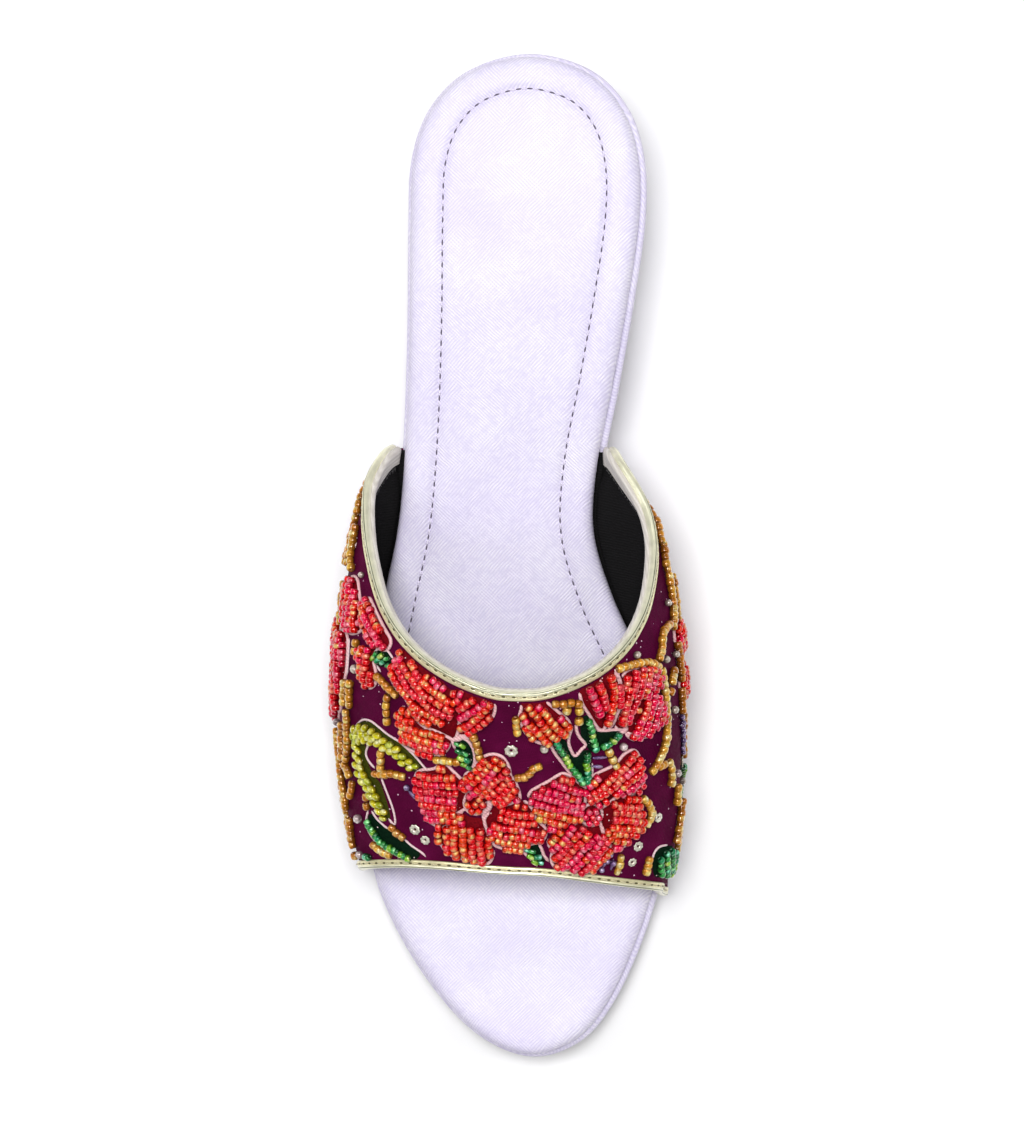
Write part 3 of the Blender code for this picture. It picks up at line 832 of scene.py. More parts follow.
def make_footbed_stitches(points, normals, thread_paint, hole_shade_paint):
    """Thread along the groove, and dark discs of painted shade for its needle holes, where it isn't under
    the upper's front.
    """
    line = plan_ring(points, normals, -STITCH_INSET, footbed_under)
    line[:, 2] += GROOVE_TOP - GROOVE_DEPTH * ease(line[:, 1], *STITCH_ENDS)
    half = len(line) // 2
    stitched = np.where(line[:, 1] > STITCHES_FROM, line[:, 1], np.inf)
    start = int(np.argmin(stitched[:half]))
    end = half + int(np.argmin(stitched[half:]))
    loop = np.vstack((line[end:], line[: start + 1]))
    run = running_length(loop)
    marks = np.arange(0, run[-1], STITCH_PITCH)
    paths = []
    for mark in marks:
        path = read_along(mark + np.linspace(0.75, STITCH_PITCH - 0.75, 7), run, loop)
        path[:, 2] += 0.02 + 0.20 * np.sin(np.linspace(0, math.pi, 7))
        paths.append((path, np.tile((0.0, 0.0, 1.0), (7, 1))))
    tubes("footbed_thread", paths, 0.33, thread_paint, "lilac_cover", ends=0.6)
    centre = read_along(marks, run, loop) + (0, 0, 0.03)
    ahead = unit(read_along(marks + 0.2, run, loop) - read_along(marks - 0.2, run, loop))
    across = unit(np.cross((0.0, 0.0, 1.0), ahead))
    places = [(c, (a, b, np.cross(a, b)), (0.72, 0.46, 0.10)) for c, a, b in zip(centre, ahead, across)]
    # dark discs: painted shade where the needle holes are
    scatter("footbed_needle_holes", button(), places, hole_shade_paint, "lilac_cover")


def make_wedge(points, normals, material):
    """The covered wedge: ledge, leaning side, rounded lower edge, and a recess for the lasting margin."""
    ledge = LEDGE + LEDGE_MEDIAL * normals[:, 0]
    lean = side_lean(points)
    rings = []

    def add(offset, share, foot, drop):
        """A ring at a share of the side. Its rounded foot and ledge shrink where the wedge is thin."""
        plan = points + normals * offset[:, None]
        over = footbed_under(plan[:, 1]) - GAP
        under = wedge_foot(plan[:, 1])
        thin = np.minimum((over - under) / WEDGE_FULL_ROUND, 1.0)
        low = under + foot * thin
        rings.append(np.column_stack((plan, low + (over - drop * thin - low) * share)))

    add(ledge - lean - 1.6, 0.0, 0.0, 0.0)
    for inset, foot in ((1.0, 0.05), (0.5, 0.25), (0.2, 0.55), (0.05, FOOT_ROUND)):
        add(ledge - lean - inset, 0.0, foot, 0.0)
    for share in np.linspace(0.08, 0.9, 12):
        add(ledge - lean * (1 - share), share, FOOT_ROUND, LEDGE_ROUND)
    rounding = ((0.0, LEDGE_ROUND), (0.04, 1.0), (0.16, 0.62), (0.4, 0.28), (0.75, 0.06), (1.2, 0.0))
    for inset, drop in rounding:
        add(ledge - inset, 1.0, 0.0, drop)

    def relief(v):
        """The cover is drawn in where the margin lies, most at its top, so that no ring passes the next."""
        toe = along(EDGES, "toe_medial", 0.0, by="share") + 1.0
        throat = along(EDGES, "throat_lateral", 0.0, by="share") - 1.0
        band = ease(v[:, 1], toe, toe + 2.0) * (1 - ease(v[:, 1], throat - 2.0, throat))
        under = wedge_foot(v[:, 1])
        height = np.clip((v[:, 2] - under) / (footbed_under(v[:, 1]) - GAP - under), 0.0, 1.0)
        v[:, 2] -= band * (MARGIN_THICK + GAP) * height**2
        return v

    obj = ring_solid("wedge_cover", rings, material, "lilac_cover", relief, splits=8)
    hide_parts("wedge")
    return obj


def make_outsole(points, normals, material):
    """The outsole with a border and shallow cross ribs moulded into its underside."""
    offset = LEDGE + LEDGE_MEDIAL * normals[:, 0] - side_lean(points) - OUTSOLE_INSET
    levels = (
        (6.5, 0.0), (5.0, 0.0), (4.0, 0.0), (2.0, 0.0), (0.8, 0.0), (0.3, 0.15), (0.05, 0.45), (0.0, 1.0),
        (0.0, OUTSOLE_THICK - 0.5), (0.1, OUTSOLE_THICK - 0.2), (0.4, OUTSOLE_THICK),
    )
    rings = []
    for inset, height in levels:
        ring = plan_ring(points, normals, offset - inset, floor_side)
        ring[:, 2] += height
        rings.append(ring)

    def relief(v):
        x, y = v[:, 0], v[:, 1]
        under = v[:, 2] < floor_side(y) + 0.05
        edge = np.minimum(x - along(OUTLINE, "lateral", y), along(OUTLINE, "medial", y) - x)
        inside = ease(edge, *RIB_BORDER) * ease(y, *RIB_TOE_END) * (1 - ease(y, *RIB_HEEL_END))
        rib = ease(np.sin(TURN * (y + RIB_BOW * x**2) / RIB_PITCH), 0.1, 0.75)
        v[:, 2] += np.where(under, RIB_DEPTH * inside * rib, 0.0)
        return v

    obj = ring_solid("outsole_tread", rings, material, "outsole_rubber", relief, splits=26)
    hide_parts("outsole")
    return obj


# ---------------------------------------------------------------- upper, lining and bindings


def margin_face(depth, side, y):
    """The outer face of the lasting margin: depth 0 at the feather line's lower end, 1 at its inner end."""
    top, _ = upper_face(np.full(len(y), float(side)), y)
    turn = min(depth / 0.4, 1.0) * math.pi / 2
    x = top[:, 0] - side * FEATHER_ROUND * (1 - math.cos(turn))
    z = top[:, 2] - FEATHER_ROUND * math.sin(turn)
    edge = np.where(side < 0, along(OUTLINE, "lateral", y), along(OUTLINE, "medial", y))
    flat = max(depth - 0.4, 0.0) / 0.6
    return np.column_stack((x + (edge - side * MARGIN_WIDTH - x) * flat, top[:, 1], z))


def gathers(girth, y):
    """Soft troughs and ridges low on the sides, where the cloth was drawn in over the feather line."""
    low = ease(np.abs(girth), 0.84, 1.0)
    side = np.where(girth < 0, 0.0, 1.9)
    wave = np.sin(y * 0.92 + side + 0.8 * np.sin(y * 0.21)) + 0.5 * np.sin(y * 1.63 + 2 * side)
    pull = 0.10 * np.sin(y * 0.35 + girth * 9.0) * np.sin(girth * 14.0 + y * 0.11)
    return 0.22 * low * wave + pull


def stations(girth, share):
    """Stations at shares of the way from the toe edge to the throat edge."""
    toe, throat = edge_station(girth, "toe"), edge_station(girth, "throat")
    return toe + (throat - toe) * share


def make_upper(cloth, lining):
    """The outer cloth with its lasting margin, and the lining inside it."""
    share = np.linspace(0.0, 1.0, 110)
    depths = (1.0, 0.7, 0.4, 0.3, 0.2, 0.1)
    face = []
    for girth in np.linspace(-1.0, 1.0, 260):
        y = stations(girth, share)
        face.append(FACE.at_girth(girth, y, gathers(girth, y))[0])
    lateral = [margin_face(depth, -1, stations(-1.0, share)) for depth in depths]
    medial = [margin_face(depth, 1, stations(1.0, share)) for depth in reversed(depths)]
    outer = np.array(lateral + face + medial)
    flap = [FLAP_THICK] * len(depths)
    thick = np.array(flap + [CLOTH_THICK] * len(face) + flap)
    normals = unit(np.cross(np.gradient(outer, axis=0), np.gradient(outer, axis=1)))
    inner = outer - normals * thick[:, None, None]
    obj = shell("upper_cloth", outer, inner, cloth, "plum_cloth")
    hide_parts("upper")

    girth, row = np.meshgrid(np.linspace(-1.0, 1.0, 200), np.linspace(0.0, 1.0, 80), indexing="ij")
    y = stations(girth, row)
    slack = 0.10 * np.sin(y * 0.5 + girth * 6.0) * np.sin(girth * 8.0)
    near, _ = FACE.at_girth(girth, y, -0.85)
    far, _ = FACE.at_girth(girth, y, -WALL - 0.05 + slack)
    shell("upper_lining", near, far, lining, "plum_cloth")
    for side, name in ((-1, "lateral"), (1, "medial")):
        make_turned_lining(side, name, lining)


def make_turned_lining(side, name, lining):
    """The lining's lower edge, turned in under the footbed over the lasting margin."""
    toe, throat = edge_station(float(side), "toe"), edge_station(float(side), "throat")
    y = np.linspace(toe + 0.5, throat - 0.5, 110)
    foot = upper_face(np.full(len(y), float(side)), y)[0][:, 0]
    tip = along(OUTLINE, name, y) - side * 4.0
    under = footbed_under(y)
    section = (  # where it lies across, and its height over the footbed's underside
        (tip, -0.12), (foot - side * 2.2, -0.12), (foot - side * 1.5, 0.15), (foot - side * 1.15, 1.1),
        (foot - side * 0.95, 1.1), (foot - side * 0.98, 0.1), (foot - side * 1.5, -0.42), (tip, -0.45),
    )
    rows = np.array([(x, y, under + height) for x, height in section]).transpose(2, 0, 1)
    faces = tube_faces(len(y), len(section))
    add_mesh("lining_turned_" + name, rows.reshape(-1, 3), faces, lining, "plum_cloth")


class Edge:
    """The line of the throat or toe edge, with the frame that its binding is swept in."""

    def __init__(self, which, count=420, low=0.994):
        self.girth = np.linspace(-low, low, count)
        self.y = edge_station(self.girth, which)
        self.path, self.normal = FACE.at_girth(self.girth, self.y)
        self.tangent = unit(np.gradient(self.path, axis=0))
        inward = 0.4 if which == "toe" else -0.4
        into = unit(FACE.at_girth(self.girth, self.y + inward)[0] - self.path)
        self.into = unit(into - self.tangent * np.sum(into * self.tangent, axis=1, keepdims=True))
        self.run = running_length(self.path)

    def at(self, depth, height):
        """A line at a distance in from the edge and a height over the outer face, with its normals."""
        girth, y = FACE.slide(self.girth, self.y, self.into * max(depth, 0.0))
        base, normal = FACE.at_girth(girth, y)
        return base + self.into * min(depth, 0.0) + normal * height, normal


THROAT, TOE = Edge("throat"), Edge("toe")


def sweep(name, edge, profile, material, wobble, shades=None, seat=None, bright=None, grooves=()):
    """A closed section swept along an edge, with a little wobble.

    shades are its painted shade colour near its seat and its own colour away from it, and bright the
    distances from the seat between which the painted shade turns into its own colour. Grooves get a darker
    painted shade still.
    """
    lines = []
    for k, (depth, height) in enumerate(profile):
        line, normal = edge.at(depth, height)
        wave = wobble * np.sin(edge.run * 0.55 + k * 0.5) * np.sin(edge.run * 0.13 + k)
        lines.append(line + normal * wave[:, None])
    points = np.array(lines).transpose(1, 0, 2).reshape(-1, 3)
    faces = tube_faces(len(edge.path), len(profile))
    tint = None
    if shades:
        # painted shade: the darker colour near the seat turns into the leather's own colour away from it
        away = np.linalg.norm(np.array(profile) - seat, axis=1)
        crown = ease(away, *bright)[:, None]
        ring = np.array(shades[0]) * (1 - crown) + np.array(shades[1]) * crown
        # painted shade in each groove, darker than at the seat
        for groove in grooves:
            ring[np.linalg.norm(np.array(profile) - groove, axis=1) < 0.13] = np.array(shades[0]) * 0.6
        tint = np.tile(ring, (len(edge.path), 1))
    return add_mesh(name, points, faces, material, "gold_binding", tint=tint)


def rounded(corners, steps=4):
    """A closed profile rounded at each corner."""
    corners = np.array(corners, float)
    out = []
    for k in range(len(corners)):
        before, at, after = corners[k - 1], corners[k], corners[(k + 1) % len(corners)]
        start, end = at + (before - at) * 0.3, at + (after - at) * 0.3
        for t in np.linspace(0, 1, steps):
            out.append(start * (1 - t) ** 2 + at * 2 * t * (1 - t) + end * t**2)
    return out


def button():
    """A small domed disc, as a template round the Z axis."""
    rings = ((1.0, -0.6), (1.0, 0.1), (0.8, 0.6), (0.45, 0.9))
    sides = 10
    points = [(r * math.cos(a), r * math.sin(a), z) for r, z in rings for a in angles_round(sides)]
    points += [(0.0, 0.0, -0.6), (0.0, 0.0, 1.0)]
    faces = grid_faces(len(rings), sides, close_columns=True)
    low, high = len(points) - 2, len(points) - 1
    for k in range(sides):
        faces.append(((k + 1) % sides, k, low, low))
        top = (len(rings) - 1) * sides
        faces.append((top + k, top + (k + 1) % sides, high, high))
    return np.array(points), np.array(faces)


def binding_stitches(name, edge, depth, height, thread_paint, hole_shade_paint):
    """Thread along a binding's outer strip, and dark discs of painted shade for its needle holes."""
    line, normal = edge.at(depth, height)
    run = edge.run
    marks = np.arange(1.5, run[-1] - BINDING_STITCH_PITCH, BINDING_STITCH_PITCH)
    paths = []
    for mark in marks:
        steps = mark + np.linspace(0.50, BINDING_STITCH_PITCH - 0.50, 7)
        up = unit(read_along(steps, run, normal))
        rise = 0.16 * np.sin(np.linspace(0, math.pi, 7))
        paths.append((read_along(steps, run, line) + up * rise[:, None], up))
    tubes(name + "_thread", paths, 0.19, thread_paint, "gold_binding", ends=0.6)
    up = unit(read_along(marks, run, normal))
    ahead = unit(read_along(marks + 0.2, run, line) - read_along(marks - 0.2, run, line))
    centre, across = read_along(marks, run, line), np.cross(up, ahead)
    places = [(c, (a, b, n), (0.50, 0.24, 0.12)) for c, a, b, n in zip(centre, ahead, across, up)]
    # dark discs: painted shade where the needle holes are
    scatter(name + "_needle_holes", button(), places, hole_shade_paint, "gold_binding")


INNER = -WALL  # the upper's inner face
# the bindings' painted shade colours, olive on the roll and bronze on the strip, each beside the leather's
# own lighter colour
PAINTED_SHADE_OLIVE, CHAMPAGNE = (0.36, 0.38, 0.22), (0.96, 0.94, 0.70)
PAINTED_SHADE_BRONZE, WHEAT = (0.30, 0.28, 0.12), (0.95, 0.89, 0.55)
THROAT_SECTIONS = {
    "roll": (
        (0.26, 0.20), (0.24, 0.72), (0.08, 0.98), (-0.06, 0.86), (-0.18, 1.06), (-0.42, 1.08), (-0.58, 0.84),
        (-0.74, 0.88), (-1.00, 0.30), (-1.02, -0.35), (-0.84, -0.84), (-0.50, -1.05), (-0.28, -0.9),
        (-0.34, -0.2), (-0.20, 0.2),
    ),
    "strip": (
        (0.05, 0.1), (0.10, 0.70), (0.30, 0.70), (0.46, 0.58), (0.64, 0.74), (1.15, 0.76), (1.52, 0.64),
        (1.74, 0.1),
    ),
    "inside": (
        (-0.30, -0.80), (-0.66, -1.05), (-0.78, -1.50), (-0.62, -2.05), (-0.10, -2.42), (1.0, INNER - 0.75),
        (2.4, INNER - 0.6), (3.7, INNER - 0.45), (3.8, INNER - 0.1), (0.0, INNER - 0.05), (-0.25, -1.3),
    ),
}
TOE_SECTIONS = {
    "roll": (
        (0.45, 0.2), (0.42, 0.62), (0.05, 0.88), (-0.16, 0.70), (-0.30, 0.82), (-0.75, 0.25), (-0.85, -0.50),
        (-0.70, -1.40), (-0.3, INNER - 0.5), (0.5, INNER - 0.6), (1.2, INNER - 0.5), (1.2, INNER - 0.1),
        (0.0, INNER - 0.1), (-0.4, -0.8), (-0.4, 0.1),
    ),
    "strip": (
        (0.30, 0.1), (0.34, 0.66), (0.65, 0.68), (0.85, 0.62), (1.05, 0.70), (1.50, 0.55), (1.70, 0.1),
    ),
    "inside": (
        (1.0, INNER - 0.1), (1.0, INNER - 0.5), (2.2, INNER - 0.5), (3.6, INNER - 0.35), (3.6, INNER - 0.1),
    ),
}


def make_binding(name, edge, sections, gold, lining, roll_painted_shade, strip_painted_shade, grooves):
    """A rolled edge, which is given back, with a stitched strip outside and a pale strip inside."""
    roll, strip, inside = (rounded(sections[part]) for part in ("roll", "strip", "inside"))
    # the roll and strip carry painted shade near their seats and in the roll's grooves
    obj = sweep(name + "_roll", edge, roll, gold, 0.04, (PAINTED_SHADE_OLIVE, CHAMPAGNE), *roll_painted_shade, grooves=grooves)
    sweep(name + "_strip", edge, strip, gold, 0.03, (PAINTED_SHADE_BRONZE, WHEAT), *strip_painted_shade)
    sweep(name + "_inside", edge, inside, lining, 0.05)
    return obj


def make_frays(material):
    """Loose threads along the pale strips' inner edges."""
    frays = []
    for edge, depth in ((THROAT, 4.2), (TOE, 3.5)):
        line, normal = edge.at(depth, INNER - 0.35)
        for at in np.arange(2.0, edge.run[-1] - 2.0, FRAY_PITCH):
            k = int(np.interp(at, edge.run, np.arange(len(edge.run))))
            lean = edge.tangent[k] * rng.uniform(-0.5, 0.5) + edge.into[k] * rng.uniform(0.35, 1.0)
            steps = np.linspace(0, rng.uniform(0.7, 1.5), 4)[:, None]
            path = line[k] - edge.into[k] * 0.3 - normal[k] * 0.12 + lean * steps
            frays.append((path, np.tile(normal[k], (4, 1))))
    tubes("binding_inner_frays", frays, 0.10, material, "gold_binding", sides=5)


def make_bindings(gold, lining, thread_paint, hole_shade_paint, fringe_paint):
    """The bindings of the throat and of the toe opening. Each pair for the painted shade is a seat, where
    the shade is darkest, and the distances from it where the colour turns into the leather's own.
    """
    obj = make_binding("throat_binding", THROAT, THROAT_SECTIONS, gold, lining, ((0.5, -0.5), (0.84, 1.22)),
                       ((0.9, -0.6), (1.0, 1.3)), grooves=((-0.06, 0.86), (-0.58, 0.84)))
    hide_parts("throat_binding")
    binding_stitches("throat_binding", THROAT, 0.46, 0.70, thread_paint, hole_shade_paint)
    obj = make_binding("toe_binding", TOE, TOE_SECTIONS, gold, lining, ((0.6, -0.5), (0.75, 1.15)),
                       ((1.0, -0.6), (0.95, 1.25)), grooves=((-0.16, 0.70),))
    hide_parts("toe_binding")
    binding_stitches("toe_binding", TOE, 0.85, 0.68, thread_paint, hole_shade_paint)
    make_frays(fringe_paint)


# ---------------------------------------------------------------- beadwork


SEED_BEAD = lathe(
    ((-0.42, 0.26), (-0.64, 0.44), (-0.68, 0.68), (-0.56, 0.88), (-0.30, 0.975), (0.0, 1.0), (0.30, 0.975),
     (0.56, 0.88), (0.68, 0.68), (0.64, 0.44), (0.42, 0.26)),
    10,
)

# Each shade of each kind of bead: its own colour low down, where it also gets painted shade, its lighter
# colour at the crown as painted light, and the colour of its painted glint
SHADES = {
    "red": (  # from crimson to orange
        ((0.62, 0.000, 0.008), (0.90, 0.000, 0.022), (1.00, 0.100, 0.120)),
        ((0.80, 0.000, 0.024), (1.00, 0.001, 0.085), (1.00, 0.260, 0.340)),
        ((0.80, 0.000, 0.003), (1.00, 0.003, 0.010), (1.00, 0.320, 0.180)),
        ((0.84, 0.002, 0.001), (1.00, 0.014, 0.004), (1.00, 0.500, 0.180)),
        ((0.86, 0.010, 0.001), (1.00, 0.055, 0.004), (1.00, 0.700, 0.220)),
    ),
    "green": (
        ((0.012, 0.130, 0.020), (0.035, 0.400, 0.070), (0.40, 1.00, 0.40)),
        ((0.050, 0.160, 0.008), (0.260, 0.620, 0.030), (0.90, 1.00, 0.30)),
        ((0.004, 0.100, 0.034), (0.014, 0.320, 0.110), (0.30, 1.00, 0.62)),
        ((0.004, 0.060, 0.014), (0.012, 0.200, 0.045), (0.16, 0.75, 0.20)),
    ),
    "lime": (
        ((0.300, 0.230, 0.002), (0.72, 0.68, 0.006), (1.00, 1.00, 0.40)),
        ((0.380, 0.280, 0.003), (0.88, 0.78, 0.010), (1.00, 1.00, 0.55)),
        ((0.180, 0.170, 0.001), (0.48, 0.54, 0.004), (0.95, 1.00, 0.20)),
    ),
    "gold": (
        ((0.520, 0.170, 0.008), (0.92, 0.400, 0.030), (1.00, 0.78, 0.26)),
        ((0.600, 0.220, 0.014), (1.00, 0.540, 0.070), (1.00, 0.90, 0.46)),
        ((0.380, 0.110, 0.005), (0.72, 0.250, 0.016), (0.96, 0.60, 0.18)),
    ),
    "clear": (
        ((0.36, 0.26, 0.22), (0.80, 0.70, 0.60), (0.90, 0.84, 0.72)),
        ((0.40, 0.26, 0.28), (0.84, 0.70, 0.68), (0.90, 0.80, 0.78)),
    ),
    "mauve": (
        ((0.10, 0.04, 0.16), (0.42, 0.30, 0.58), (0.75, 0.65, 0.88)),
        ((0.07, 0.02, 0.10), (0.26, 0.14, 0.34), (0.60, 0.45, 0.70)),
    ),
}

STRUNG = -1.0  # in place of a petal's cast: it has only the separate strings of RED_STRINGS
